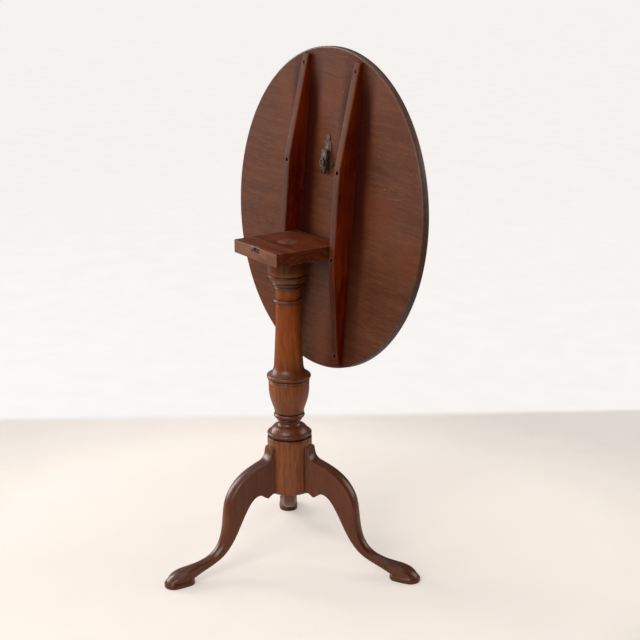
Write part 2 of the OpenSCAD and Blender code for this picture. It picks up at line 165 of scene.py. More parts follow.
@dataclass(frozen=True)
class Mahogany:
    """Old mahogany, planed or turned, stained and waxed over many years.

    To the eye: a red-brown ground with soft darker ribbons along the fibres, short dark pores, a low
    satin sheen from the wax, paler rubbed arrises, and dirt and painted shade in the corners.
    """

    name: str
    grain: Grain
    deep: str
    ground: str
    pale: str
    warm: str = "74391c"
    rubbed: str = "9a6a4a"
    ribbon_mm: float = 9.0
    # Real pores are 0.2 mm wide, too fine to show, so they are drawn coarser.
    pore_mm: float = 1.1
    ring_mm: float = 0.0
    pith_mm: tuple[float, float, float] = (0.0, 0.0, 0.0)
    figure: float = 1.0
    roughness: float = 0.42
    wax: float = 0.12
    rub: float = 0.6
    rub_mm: float = 2.2
    # How dark the corners get: dirt and painted shade.
    dirt_and_shade: float = 0.5
    reach_mm: float = 12.0
    bump: float = 0.5
    shine: float = 0.5
    fleck: float = 0.0
    # How much what faces up is darkened, from 0 to 1: painted shade, with some dirt.
    top_dirt_and_shade: float = 0.0
    # Heights in millimetres and how thick the old dark polish lies there, from 0 to 1; it also paints shade,
    # such as the block's shadow on the column's cap.
    polish_and_shade: tuple[Point, ...] = ()
    # For the painted shadow beside a pair of bars along Y, in millimetres: the bars' distance from the
    # middle, then how far from them the shadow starts to fade and where it ends.
    bearer_shadow: tuple[float, ...] = ()

    def _streaks(
        self, node: Adder, bent: Socket, length: float, width: float, detail: float, rough: float = 0.55
    ) -> Socket:
        """Add noise that is long down the fibres and narrow across them.

        Args:
            node: adds a node to the finish.
            bent: the place on the piece, bent a little so that no line runs quite straight.
            length: length of a streak in millimetres.
            width: its width in millimetres.
            detail: noise octaves.
            rough: how strong the finer octaves are.

        Returns:
            The noise's value.
        """
        scale = [1000 / width] * 3
        scale[self.grain.value] = 1000 / length
        vector = node("VectorMath", (bent, tuple(scale)), operation="MULTIPLY")
        return node("TexNoise", {"Vector": vector, "Scale": 1.0, "Detail": detail, "Roughness": rough})

    def _rings(self, node: Adder, bent: Socket, broad: Socket, value: Socket) -> Socket:
        """Add the arches that growth rings draw on a sawn face.

        Args:
            node: adds a node to the finish.
            bent: the bent place on the piece.
            broad: slow noise that makes the rings waver.
            value: the grain's tone so far.

        Returns:
            The tone with the rings in it.
        """
        flat = [1.0, 1.0, 1.0]
        flat[self.grain.value] = 0.02
        off = node("VectorMath", (bent, tuple(c * MM for c in self.pith_mm)), operation="SUBTRACT")
        off = node("VectorMath", (off, tuple(flat)), operation="MULTIPLY")
        far = node("VectorMath", (off,), "Value", operation="LENGTH")
        turn = node("Math", (far, 2 * math.pi / (self.ring_mm * MM)), operation="MULTIPLY")
        turn = node("Math", (broad, 9.0, turn), operation="MULTIPLY_ADD")
        rings = node("Math", (turn,), operation="SINE")
        return node("Math", (rings, 0.06, value), operation="MULTIPLY_ADD")

    def _stains(self, node: Adder, place: Socket, bent: Socket, colour: Socket) -> Socket:
        """Add old polish and painted shade, chips, and a painted shadow beside bearers, where the finish has
        them.

        Args:
            node: adds a node to the finish.
            place: the place on the piece.
            bent: the bent place on the piece.
            colour: the wood's colour so far.

        Returns:
            The colour with its stains and painted shade.
        """
        if self.polish_and_shade:
            # Old polish lies thick and dark in the mouldings; where the table says so, this dark is painted
            # shade.
            low, tall = self.polish_and_shade[0][0], self.polish_and_shade[-1][0] - self.polish_and_shade[0][0]
            height = node("SeparateXYZ", (place,), 2)
            height = node("MapRange", (height, low * MM, (low + tall) * MM))
            coats = [((z - low) / tall, (c, c, c, 1.0)) for z, c in self.polish_and_shade]
            coats = node("ValToRGB", (height,), stops=coats)
            colour = node("Mix", {0: coats, 6: colour, 7: linear(OLD_POLISH_AND_SHADE)}, 2, data_type="RGBA")
        if self.bearer_shadow:
            # Painted shadow: the board is painted dark red close beside its bearers, where their shadow
            # falls, weaker towards their ends.
            middle, near, far = (c * MM for c in self.bearer_shadow)
            bearer_shade = node("Math", (node("SeparateXYZ", (bent,)),), operation="ABSOLUTE")
            bearer_shade = node("Math", (bearer_shade, middle), operation="SUBTRACT")
            bearer_shade = node("Math", (bearer_shade,), operation="ABSOLUTE")
            bearer_shade = node("MapRange", (bearer_shade, near, far, 0.96, 0.0), interpolation_type="SMOOTHSTEP")
            along = node("SeparateXYZ", (bent,), 1)
            for start, end, first, last in ((-0.28, 0.0, 0.4, 1.0), (0.24, 0.31, 1.0, 0.3)):
                fade = node("MapRange", (along, start, end, first, last))
                bearer_shade = node("Math", (bearer_shade, fade), operation="MULTIPLY")
            colour = node("Mix", {0: bearer_shade, 6: colour, 7: linear(BEARER_SHADOW_RED)}, 2, data_type="RGBA")
        if self.top_dirt_and_shade:
            # Painted shade, with some dirt: what faces up is darkened.
            up = node("SeparateXYZ", (node("NewGeometry", out="Normal"),), 2)
            up = node("MapRange", (up, 0.12, 0.5, 1.0, 1 - self.top_dirt_and_shade))
            colour = node("VectorMath", {0: colour, "Scale": up}, operation="SCALE")
        if self.fleck:
            # A few chips and paint specks, drawn a little over their real size of a millimetre.
            dots = node("TexNoise", {"Vector": place, "Scale": 1000 / 5, "Detail": 1.0})
            group = node("TexNoise", {"Vector": place, "Scale": 1000 / 60, "Detail": 1.0})
            dots = node("MapRange", (dots, 0.735, 0.76, 0.0, self.fleck))
            group = node("MapRange", (group, 0.56, 0.62))
            dots = node("Math", (dots, group), operation="MULTIPLY")
            colour = node("Mix", {0: dots, 6: colour, 7: linear(CHIP)}, 2, data_type="RGBA")
        return colour

    def _wear(self, node: Adder, place: Socket, colour: Socket) -> Socket:
        """Darken where surfaces meet with dirt and painted shade, and rub the arrises pale.

        Args:
            node: adds a node to the finish.
            place: the place on the piece.
            colour: the wood's colour so far.

        Returns:
            The worn colour.
        """
        # Dirt and painted shade where surfaces meet: the darkening follows ambient occlusion.
        hollow_dirt_and_shade = node("AmbientOcclusion", {"Distance": self.reach_mm * MM}, "AO", samples=AO_SAMPLES)
        hollow_dirt_and_shade = node("MapRange", (hollow_dirt_and_shade, 0.35, 0.92, self.dirt_and_shade, 0.0))
        colour = node("Mix", {0: hollow_dirt_and_shade, 6: colour, 7: linear(DIRT_AND_SHADE)}, 2, data_type="RGBA")
        reach = {"Distance": self.rub_mm * MM}
        arris = node("AmbientOcclusion", reach, "AO", samples=AO_SAMPLES, inside=True)
        arris = node("MapRange", (arris, 0.52, 0.88, 1.0, 0.0))
        worn = node("TexNoise", {"Vector": place, "Scale": 1000 / 9, "Detail": 4.0, "Roughness": 0.65})
        worn = node("MapRange", (worn, 0.36, 0.62))
        arris = node("Math", (arris, worn), operation="MULTIPLY")
        arris = node("Math", (arris, self.rub), operation="MULTIPLY")
        return node("Mix", {0: arris, 6: colour, 7: linear(self.rubbed)}, 2, data_type="RGBA")

    def material(self) -> bpy.types.Material:
        """Build the finish.

        Returns:
            The node material.
        """
        material, tree = blank_material(self.name)
        node = partial(add, tree)
        place = node("TexCoord", out="Object")
        drift = node("TexNoise", {"Vector": place, "Scale": 1000 / 110, "Detail": 2.0}, "Color")
        drift = node("VectorMath", (drift, (0.5, 0.5, 0.5)), operation="SUBTRACT")
        drift = node("VectorMath", {0: drift, "Scale": 0.022}, operation="SCALE")
        bent = node("VectorMath", (place, drift))

        ribbon = self._streaks(node, bent, 260, self.ribbon_mm, 4.0)
        broad = self._streaks(node, bent, 420, self.ribbon_mm * 5.5, 2.0)
        pores = self._streaks(node, bent, 16, self.pore_mm, 1.0, 0.4)
        fine = self._streaks(node, bent, 75, 2.3, 2.0)
        value = node("Math", (ribbon, 0.4), operation="MULTIPLY")
        value = node("Math", (broad, 0.25, value), operation="MULTIPLY_ADD")
        value = node("Math", (fine, 0.35, value), operation="MULTIPLY_ADD")
        if self.ring_mm:
            value = self._rings(node, bent, broad, value)
        spread = 0.16 / self.figure
        tones = ((0.5 - spread, self.deep), (0.5, self.ground), (0.5 + spread, self.pale))
        colour = node("ValToRGB", (value,), stops=[(at, linear(tone)) for at, tone in tones])
        speck = node("MapRange", (pores, 0.58, 0.7))
        dark = node("Math", (speck, 0.42), operation="MULTIPLY")
        colour = node("Mix", {0: dark, 6: colour, 7: linear(self.deep)}, 2, data_type="RGBA")

        # Hands and polish leave slow patches in both tone and sheen.
        patch = node("TexNoise", {"Vector": place, "Scale": 1000 / 70, "Detail": 5.0, "Roughness": 0.6})
        tone = node("MapRange", (patch, 0.3, 0.7, 0.86, 1.12))
        colour = node("VectorMath", {0: colour, "Scale": tone}, operation="SCALE")
        hue = node("TexNoise", {"Vector": bent, "Scale": 1000 / 150, "Detail": 3.0})
        hue = node("MapRange", (hue, 0.42, 0.7, 0.0, 0.6))
        colour = node("Mix", {0: hue, 6: colour, 7: linear(self.warm)}, 2, data_type="RGBA")
        colour = self._wear(node, place, self._stains(node, place, bent, colour))

        sheen = node("Math", (patch, 0.22, self.roughness - 0.11), operation="MULTIPLY_ADD")
        sheen = node("Math", (speck, 0.12, sheen), operation="MULTIPLY_ADD")
        relief = node("Math", (speck, -0.5, ribbon), operation="MULTIPLY_ADD")
        normal = node("Bump", {"Height": relief, "Strength": self.bump, "Distance": 0.00025})
        wave = node("TexNoise", {"Vector": place, "Scale": 1000 / 38, "Detail": 2.0})
        normal = node("Bump", {"Height": wave, "Strength": 0.35, "Distance": 0.0011, "Normal": normal})
        gloss = {"IOR": 1.5, "Coat Weight": self.wax, "Coat Roughness": 0.28, "Coat IOR": 1.45,
                 "Specular IOR Level": self.shine}
        shader = node("BsdfPrincipled", {"Base Color": colour, "Roughness": sheen, "Normal": normal, **gloss})
        node("OutputMaterial", {"Surface": shader})
        return material


@dataclass(frozen=True)
class AgedMetal:
    """Cast or forged metal that has been handled and left to tarnish.

    To the eye: a dull ground with darker tarnish patches, brighter rubbed edges and a broken sheen.
    """

    name: str
    ground: str
    tarnish: str
    bright: str
    roughness: float
    patch_mm: float = 6.0
    metal: float = 1.0
    rub: float = 0.8

    def material(self) -> bpy.types.Material:
        """Build the finish.

        Returns:
            The node material.
        """
        material, tree = blank_material(self.name)
        node = partial(add, tree)
        place = node("TexCoord", out="Object")
        patch = {"Vector": place, "Scale": 1000 / self.patch_mm, "Detail": 6.0, "Roughness": 0.62}
        patch = node("TexNoise", patch)
        colour = node("ValToRGB", (patch,), stops=[(0.36, linear(self.tarnish)), (0.62, linear(self.ground))])
        # Darker in the hollows: tarnish and painted shade, following ambient occlusion.
        hollow_dirt_and_shade = node("AmbientOcclusion", {"Distance": 0.004}, "AO", samples=AO_SAMPLES)
        hollow_dirt_and_shade = node("MapRange", (hollow_dirt_and_shade, 0.3, 0.8, 0.7, 0.0))
        colour = node("Mix", {0: hollow_dirt_and_shade, 6: colour, 7: linear("140d08")}, 2, data_type="RGBA")
        edge = node("AmbientOcclusion", {"Distance": 0.0009}, "AO", samples=AO_SAMPLES, inside=True)
        edge = node("MapRange", (edge, 0.52, 0.88, self.rub, 0.0))
        colour = node("Mix", {0: edge, 6: colour, 7: linear(self.bright)}, 2, data_type="RGBA")
        sheen = node("Math", (patch, -0.3, self.roughness + 0.15), operation="MULTIPLY_ADD")
        pits = node("TexNoise", {"Vector": place, "Scale": 1000 / 1.2, "Detail": 3.0})
        normal = node("Bump", {"Height": pits, "Strength": 0.4, "Distance": 0.00015})
        look = {"Base Color": colour, "Roughness": sheen, "Metallic": self.metal, "Normal": normal}
        node("OutputMaterial", {"Surface": node("BsdfPrincipled", look)})
        return material


# Planed, stained and never polished: a flat, dry surface with plain cross bands of grain.
# Dirt and painted shade darken its corners, and a painted shadow lies beside each bearer.
UNDERSIDE = Mahogany(
    "planed mahogany underside", Grain.X, deep="462310", ground="623722", pale="774a31", warm="74371a",
    rubbed="94705a", ribbon_mm=7, figure=0.7, roughness=0.58, wax=0.0, rub=0.45, dirt_and_shade=0.6, reach_mm=30,
    shine=0.12, fleck=0.45, bearer_shadow=(91, 36, 64),
)
# Turned and much handled: darker than the board, with a low sheen; its grey tone is a painted sheen on the
# rounded edge.
RIM_WITH_SHEEN = Mahogany(
    "dark handled board edge with painted sheen", Grain.X, deep="3f2d24", ground="573f32", pale="6b5142", rubbed="8d7666",
    wax=0.15, rub=0.5,
)
# Scraped smooth and waxed: deep red with arched figure under a clear gloss.
FACE = Mahogany(
    "waxed mahogany face", Grain.X, deep="4a1d0e", ground="6f3119", pale="8c4a28", ring_mm=26,
    pith_mm=(0, 60, 640), roughness=0.24, wax=0.35, rub=0.35,
)
# Planed and left bare: a dull brown edge with pale rubbed arrises.
BEARER = Mahogany(
    "planed mahogany bearer", Grain.Y, deep="431d0e", ground="592d1d", pale="6a3b27", rubbed="a87c62",
    roughness=0.55, wax=0.0, rub=0.8, rub_mm=2.0, shine=0.15,
)
# Planed and stained: a strong dark red with no sheen, darker than the bearer's edge as stain and painted
# shade; its orange-red warm patches are a painted sheen.
CHEEK_STAIN_AND_SHADE = Mahogany(
    "red stained and shaded mahogany cheek", Grain.Y, deep="3b0a02", ground="5e1404", pale="80300c", warm="8a3209",
    rubbed="8f5a42", roughness=0.5, wax=0.0, rub=0.3, dirt_and_shade=0.35, shine=0.08,
)
# Sawn, planed and knocked by the bearers: uneven arched grain, chips and pale worn corners.
BLOCK = Mahogany(
    "worn mahogany block", Grain.X, deep="3c1407", ground="642a13", pale="824320", warm="6c2c10",
    rubbed="b98a68", ribbon_mm=5, ring_mm=11, pith_mm=(0, 0, 560), roughness=0.5, wax=0.0, rub=1.0,
    shine=0.2, fleck=0.8,
)
# The block's catch face: a paler copy of the block's wood, as painted light on the face the lamps fall on,
# with worn arrises.
LIT_BLOCK_FACE = Mahogany(
    "paler lit block face", Grain.X, deep="5a3423", ground="80523c", pale="986a50", warm="865238",
    rubbed="c09a7c", ribbon_mm=4, roughness=0.6, wax=0.0, rub=0.9, shine=0.2,
)
# Turned and waxed: golden brown with fine upright grain and a satin gloss, and dirt and painted shade in its
# hollows.
COLUMN = Mahogany(
    "turned waxed mahogany", Grain.Z, deep="743009", ground="9b511d", pale="b66f39", warm="a04912",
    ribbon_mm=5, roughness=0.34, wax=0.2, rub=0.35, dirt_and_shade=1.0, reach_mm=8,
)
# Sawn across the fibres: end grain drinks the stain, so it is dark and dull.
TENON = Mahogany(
    "end grain of the tenon", Grain.Z, deep="361206", ground="4c1f0e", pale="643018", roughness=0.55,
    wax=0.0, shine=0.2,
)
# Carved, scraped and waxed: brown flanks, with dirt and painted shade in the hollows and on what faces up,
# glossy on knee and foot.
LEG = Mahogany(
    "carved waxed mahogany", Grain.Z, deep="4a1c06", ground="672e0c", pale="7a421b", warm="74320a",
    ribbon_mm=6, figure=0.85, roughness=0.3, wax=0.25, rub=0.5, dirt_and_shade=0.8, top_dirt_and_shade=0.34,
)
# Cast and filed: dull yellow-brown, brighter where fingers turn it.
BRASS = AgedMetal("tarnished cast brass", "6a503b", "34231a", "96795e", 0.5, metal=0.4)
# Rolled and long untouched: a brown skin hides nearly all of the metal.
BRONZE = AgedMetal("browned brass plate", "5c4031", "2c180f", "80644c", 0.55, metal=0.3)
# Forged: matt red-brown rust with little metal left to see.
RUST = AgedMetal("rusted iron screws", "5a3a2a", "33201a", "75543f", 0.6, metal=0.2)
# Hammered: near black, with a grey gleam on its edges.
IRON = AgedMetal("wrought iron", "3a3634", "1c1614", "6a6460", 0.55, metal=0.9)


# ---------------------------------------------------------------- mesh making


def curve(p: Point, c: Point, d: Point, q: Point, count: int = 8) -> list[Point]:
    """Points of a cubic curve.

    Args:
        p: where the curve starts.
        c: what it first bends towards.
        d: what it bends towards last.
        q: where it ends.
        count: number of steps.

    Returns:
        The points in order, without the first.
    """
    made = []
    for i in range(1, count + 1):
        t = i / count
        u = 1 - t
        shares = (u**3, 3 * u * u * t, 3 * u * t * t, t**3)
        made.append(tuple(sum(share * at[k] for share, at in zip(shares, (p, c, d, q))) for k in (0, 1)))
    return made


def arc(centre: Point, radius: float, first: float, last: float, count: int = 10) -> list[Point]:
    """Points of an arc.

    Args:
        centre: its middle.
        radius: its radius.
        first: the first angle in degrees.
        last: the last angle in degrees.
        count: number of steps.

    Returns:
        The points in order.
    """
    angles = [math.radians(first + (last - first) * i / count) for i in range(count + 1)]
    return [(centre[0] + radius * math.cos(a), centre[1] + radius * math.sin(a)) for a in angles]


def object_of(name: str, bm: bmesh.types.BMesh, smooth: bool = True, sharp: float = 40.0) -> bpy.types.Object:
    """Turn an edited mesh into an object of the scene.

    Args:
        name: the piece's name.
        bm: the edited mesh, which is freed.
        smooth: whether faces are shaded smooth.
        sharp: the angle in degrees past which an edge stays sharp.

    Returns:
        The object.
    """
    bmesh.ops.recalc_face_normals(bm, faces=bm.faces)
    for f in bm.faces:
        f.smooth = smooth
    for e in bm.edges:
        e.smooth = len(e.link_faces) == 2 and e.calc_face_angle(0) < math.radians(sharp)
    mesh = bpy.data.meshes.new(name)
    bm.to_mesh(mesh)
    bm.free()
    made = bpy.data.objects.new(name, mesh)
    bpy.context.scene.collection.objects.link(made)
    return made


def lathe(outline: list[Point], steps: int = 128) -> bmesh.types.BMesh:
    """Turn a half outline about the Z axis.

    Args:
        outline: (radius, height) points in metres; a radius of 0 closes on the axis.
        steps: number of steps round.

    Returns:
        The edited mesh.
    """
    bm = bmesh.new()
    rings = []
    for r, z in outline:
        if r < 1e-7:
            rings.append([bm.verts.new((0, 0, z))])
        else:
            turn = [2 * math.pi * i / steps for i in range(steps)]
            rings.append([bm.verts.new((r * math.cos(a), r * math.sin(a), z)) for a in turn])
    for low, high in zip(rings, rings[1:]):
        for i in range(steps):
            j = (i + 1) % steps
            corners = [low[i % len(low)], low[j % len(low)], high[j % len(high)], high[i % len(high)]]
            corners = list(dict.fromkeys(corners))
            if len(corners) > 2:
                bm.faces.new(corners)
    return bm


def loft(sections: list[list[Vector]]) -> bmesh.types.BMesh:
    """Skin closed sections and close both ends.

    Args:
        sections: rings with the same number of points each, in metres.

    Returns:
        The edited mesh.
    """
    bm = bmesh.new()
    rings = [[bm.verts.new(p) for p in ring] for ring in sections]
    count = len(rings[0])
    for low, high in zip(rings, rings[1:]):
        for i in range(count):
            bm.faces.new((low[i], low[(i + 1) % count], high[(i + 1) % count], high[i]))
    bm.faces.new(rings[0])
    bm.faces.new(rings[-1])
    return bm


def board(outline: list[Point], thick: float, bevel: float, steps: int = 3) -> bmesh.types.BMesh:
    """Cut a board to an outline in the XY plane and round its edges.

    Args:
        outline: the corners in metres.
        thick: thickness in metres, upwards from 0.
        bevel: size of the rounded edges in metres.
        steps: steps of the rounding.

    Returns:
        The edited mesh.
    """
    bm = bmesh.new()
    face = bm.faces.new([bm.verts.new((x, y, 0)) for x, y in outline])
    raised = bmesh.ops.extrude_face_region(bm, geom=[face])
    top = [v for v in raised["geom"] if isinstance(v, bmesh.types.BMVert)]
    bmesh.ops.translate(bm, verts=top, vec=(0, 0, thick))
    bmesh.ops.recalc_face_normals(bm, faces=bm.faces)
    if bevel:
        edges = [e for e in bm.edges if e.calc_face_angle(0) > math.radians(30)]
        bmesh.ops.bevel(
            bm, geom=edges, offset=bevel, segments=steps, profile=0.5, affect="EDGES", clamp_overlap=True
        )
    return bm


def rod(radius: float, start: Vector, end: Vector, steps: int = 32) -> bpy.types.Object:
    """Make a plain round bar, to bore a hole with or to join to a piece.

    Args:
        radius: its radius in metres.
        start: one end of its axis.
        end: the other end.
        steps: number of sides.

    Returns:
        The bar, which work() deletes.
    """
    way = end - start
    bm = bmesh.new()
    bmesh.ops.create_cone(bm, cap_ends=True, segments=steps, radius1=radius, radius2=radius, depth=way.length)
    turn = way.to_track_quat("Z", "Y").to_matrix().to_4x4()
    bmesh.ops.transform(bm, matrix=Matrix.Translation((start + end) / 2) @ turn, verts=bm.verts)
    return object_of("cutter", bm)


def brick(low: Vector, high: Vector) -> bpy.types.Object:
    """Make a plain square cutter, to cut a pocket with.

    Args:
        low: its lowest corner in metres.
        high: its highest corner.

    Returns:
        The cutter, which work() deletes.
    """
    bm = bmesh.new()
    bmesh.ops.create_cube(bm, size=1.0)
    size = high - low
    place = Matrix.Translation((low + high) / 2) @ Matrix.Diagonal((*size, 1))
    bmesh.ops.transform(bm, matrix=place, verts=bm.verts)
    return object_of("cutter", bm)


class Joinery(Enum):
    """How meshes are worked into one: the operation, its solver and the angle past which edges are sharp."""

    CUT = ("DIFFERENCE", "EXACT", 35.0)
    JOIN = ("UNION", "MANIFOLD", 38.0)


def work(piece: bpy.types.Object, others: list[bpy.types.Object], how: Joinery) -> None:
    """Cut other meshes out of a piece or join them to it, and delete them.

    Args:
        piece: the piece, in the same frame as the others.
        others: what is taken away or added.
        how: whether they are cut or joined.
    """
    operation, solver, sharp = how.value
    for other in others:
        step = piece.modifiers.new(operation.lower(), "BOOLEAN")
        step.operation, step.solver, step.object = operation, solver, other
    graph = bpy.context.evaluated_depsgraph_get()
    graph.update()
    mesh = bpy.data.meshes.new_from_object(piece.evaluated_get(graph))
    mesh.name = piece.name
    mesh.materials.clear()
    piece.modifiers.clear()
    piece.data = mesh
    for other in others:
        bpy.data.objects.remove(other)
    for p in mesh.polygons:
        p.use_smooth = True
    mesh.set_sharp_from_angle(angle=math.radians(sharp))


# ---------------------------------------------------------------- the frame's places


class Frame:
    """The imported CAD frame: its nodes, the column's axis, the feet and the board's swing."""

    def __init__(self, loaded: dict) -> None:
        """Read the places that the pieces are set by.
        """
        self.nodes = loaded["nodes"]
        low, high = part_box("column")
        self.axis = Vector(((low.x + high.x) / 2, (low.y + high.y) / 2, 0))
        self.hub_low = low.z
        self.block_top = high.z
        tilt = next(j for j in loaded["joints"] if j["name"] == "tilt")
        self.pivot = Vector(tilt["pos_m"])
        feet = [m for m in loaded["record"]["mounts"] if m["name"].startswith("foot")]
        self.feet = {m["name"]: Vector(m["pos_m"]) - self.axis for m in feet}
        self.swing = Matrix.Rotation(-math.radians(tilt["range_deg"][1]), 4, Vector(tilt["axis"]))

    @property
    def raised(self) -> Matrix:
        """Where what is drawn flat on the block, about the column's axis, lies with the board raised."""
        there = Matrix.Translation(self.pivot)
        return there @ self.swing @ there.inverted() @ Matrix.Translation(self.axis)

    @property
    def centred(self) -> Matrix:
        """Where what is drawn about the Z axis stands on the column's axis."""
        return Matrix.Translation(self.axis)

    def dress(self, node: str, material: bpy.types.Material) -> None:
        """Give a CAD node that keeps its own shape a finish.

        Args:
            node: the node's name.
            material: its finish.
        """
        mesh = self.nodes[node].data
        mesh.materials.clear()
        mesh.materials.append(material)
        log.info("dressed %s in %s", node, material.name)

    def fit(
        self, piece: bpy.types.Object, place: Matrix, body: str, slot: str, material: bpy.types.Material,
        node: str,
    ) -> None:
        """Put a piece where it belongs, in its finish, on its body.

        Args:
            piece: the new piece.
            place: its place in the row frame.
            body: the CAD body it moves with.
            slot: the record's material slot; not used.
            material: its finish, unless it has its finishes already.
            node: the CAD node that it stands for.
        """
        if not piece.data.materials:
            piece.data.materials.append(material)
        piece.matrix_world = place
        bpy.context.view_layer.update()
        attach(piece, body)
        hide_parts(node)
        log.info("built %s with %d faces, riding on %s", piece.name, len(piece.data.polygons), body)


# ---------------------------------------------------------------- sub-assemblies


@dataclass
class RoundTop:
    """The round board, its two bearers and what holds them."""

    frame: Frame
    radius: float = 328.0
    thick: float = 15.5
    edge: float = 3.0
    gap: float = 0.3
    bearer_wide: float = 20.0
    bearer_deep: float = 39.0
    bearer_half: float = 306.0
    tip_high: float = 8.0
    tip_low: float = 12.5
    full: float = 98.0
    inner: float = 81.0
    # Along the bearer and up into it from the board, for each screw's seat.
    screws: list[Point] = field(default_factory=lambda: [(288, 6.5), (88, 18), (-88, 18), (-288, 6.5)])
    screw_hole: float = 4.6
    pin_hole: float = 9.08
    pin_start: float = 75.0
    pin_end: float = 97.0

    def build(self) -> None:
        """Build the board and the bearers, and dress the screws."""
        self.under = self.frame.block_top + self.gap * MM
        self._board()
        finishes = [BEARER.material(), CHEEK_STAIN_AND_SHADE.material()]
        for side, name in ((1, "bearer_left"), (-1, "bearer_right")):
            self._bearer(side, name, finishes)
        rust = RUST.material()
        for node in ("bearer_screws_left", "bearer_screws_right"):
            self.frame.dress(node, rust)

    def _board(self) -> None:
        """Build the board: flat below, gently rounded at the rim, with its face on top."""
        r, t, e = self.radius, self.thick, self.edge
        outline = [(0, 0)] + [(r * k / 14, 0) for k in range(1, 14)] + [(r - e - 1, 0)]
        outline += arc((r - e, e), e, -90, 0, 6) + arc((r - e, t - e), e, 0, 90, 6)
        outline += [(r - e - 1, t)] + [(r * k / 14, t) for k in range(13, 0, -1)] + [(0, t)]
        bm = lathe([(a * MM, self.under + z * MM) for a, z in outline], 256)
        piece = object_of("round_board", bm)
        for finish in (UNDERSIDE, FACE, RIM_WITH_SHEEN):
            piece.data.materials.append(finish.material())
        # The rounded rim takes the grey finish, a painted sheen.
        for p in piece.data.polygons:
            out = (r - e) * MM < Vector(p.center[:2]).length
            p.material_index = 2 if out else 1 if p.normal.z > 0.5 else 0
        self.frame.fit(piece, self.frame.raised, "top", "top_wood", piece.data.materials[0], "table_top")

    def _deep(self, y: float) -> float:
        """Work out how deep a bearer is at one place along it.

        Args:
            y: distance from the board's middle in millimetres.

        Returns:
            The depth in millimetres.
        """
        if abs(y) <= self.full:
            return self.bearer_deep
        tip = self.tip_high if y > 0 else self.tip_low
        share = (abs(y) - self.full) / (self.bearer_half - self.full)
        return self.bearer_deep + (tip - self.bearer_deep) * share

    def _bearer_section(self, y: float, side: int) -> list[Vector]:
        """Work out a bearer's section: square, with soft arrises that waver a little.

        Args:
            y: distance from the board's middle in millimetres.
            side: 1 for the +X side, -1 for the other.

        Returns:
            The ring of points in metres.
        """
        w, d = self.bearer_wide, self._deep(y)
        end = self.bearer_half - abs(y)
        trim = 0.9 if end < 0.1 else 0.3 if end < 1 else 0.0
        half = [(0, 0.02), (0, d * 0.5), (0, d - 1.8), (0.6, d - 0.6), (1.8, d), (w * 0.3, d)]
        ring = []
        for x, z in half + [(w - x, z) for x, z in reversed(half)]:
            wob = 0.18 * noise.noise(Vector((x * 0.12, y * 0.02, side * 7.0)))
            x = x + (trim + wob) * (1 if x < w / 2 else -1)
            z = max(0.02, z - (trim + abs(wob)) * (1 if z > d / 2 else 0))
            x = min(max(x, 0), w)
            ring.append(Vector((side * (self.inner + x) * MM, y * MM, self.under - z * MM)))
        return ring

    def _bearer(self, side: int, name: str, finishes: list[bpy.types.Material]) -> None:
        """Build one bearer: a tapered bar planed flat, bored for its screws and its pin.

        Args:
            side: 1 for the +X side, -1 for the other.
            name: the piece's and the CAD node's name.
            finishes: the finish of its planed edge, and the darker one of its two cheeks, which paints shade.
        """
        half = self.bearer_half
        stops = [-half + 1.5 + (2 * half - 3) * i / 96 for i in range(1, 96)] + [-self.full, self.full]
        stops += [way * (half - back) for way in (-1, 1) for back in (0, 0.6, 1.5)]
        sections = [self._bearer_section(y, side) for y in sorted(set(stops))]
        piece = object_of(name, loft(sections), sharp=32)
        mid = side * (self.inner + self.bearer_wide / 2) * MM
        cutters = []
        for y, seat in self.screws:
            seat_at = Vector((mid, y * MM, self.under - seat * MM))
            cutters.append(rod(self.screw_hole * MM, seat_at, seat_at - Vector((0, 0, 0.06))))
        pin = self.frame.pivot - self.frame.axis
        ends = [Vector((side * x * MM, pin.y, pin.z)) for x in (self.pin_start, self.pin_end)]
        cutters.append(rod(self.pin_hole * MM, *ends, 48))
        work(piece, cutters, Joinery.CUT)
        for finish in finishes:
            piece.data.materials.append(finish)
        # The cheeks take the darker red finish: stain and painted shade.
        for p in piece.data.polygons:
            p.material_index = int(abs(p.normal.x) > 0.8)
        self.frame.fit(piece, self.frame.raised, "top", "bearer_wood", finishes[0], name)


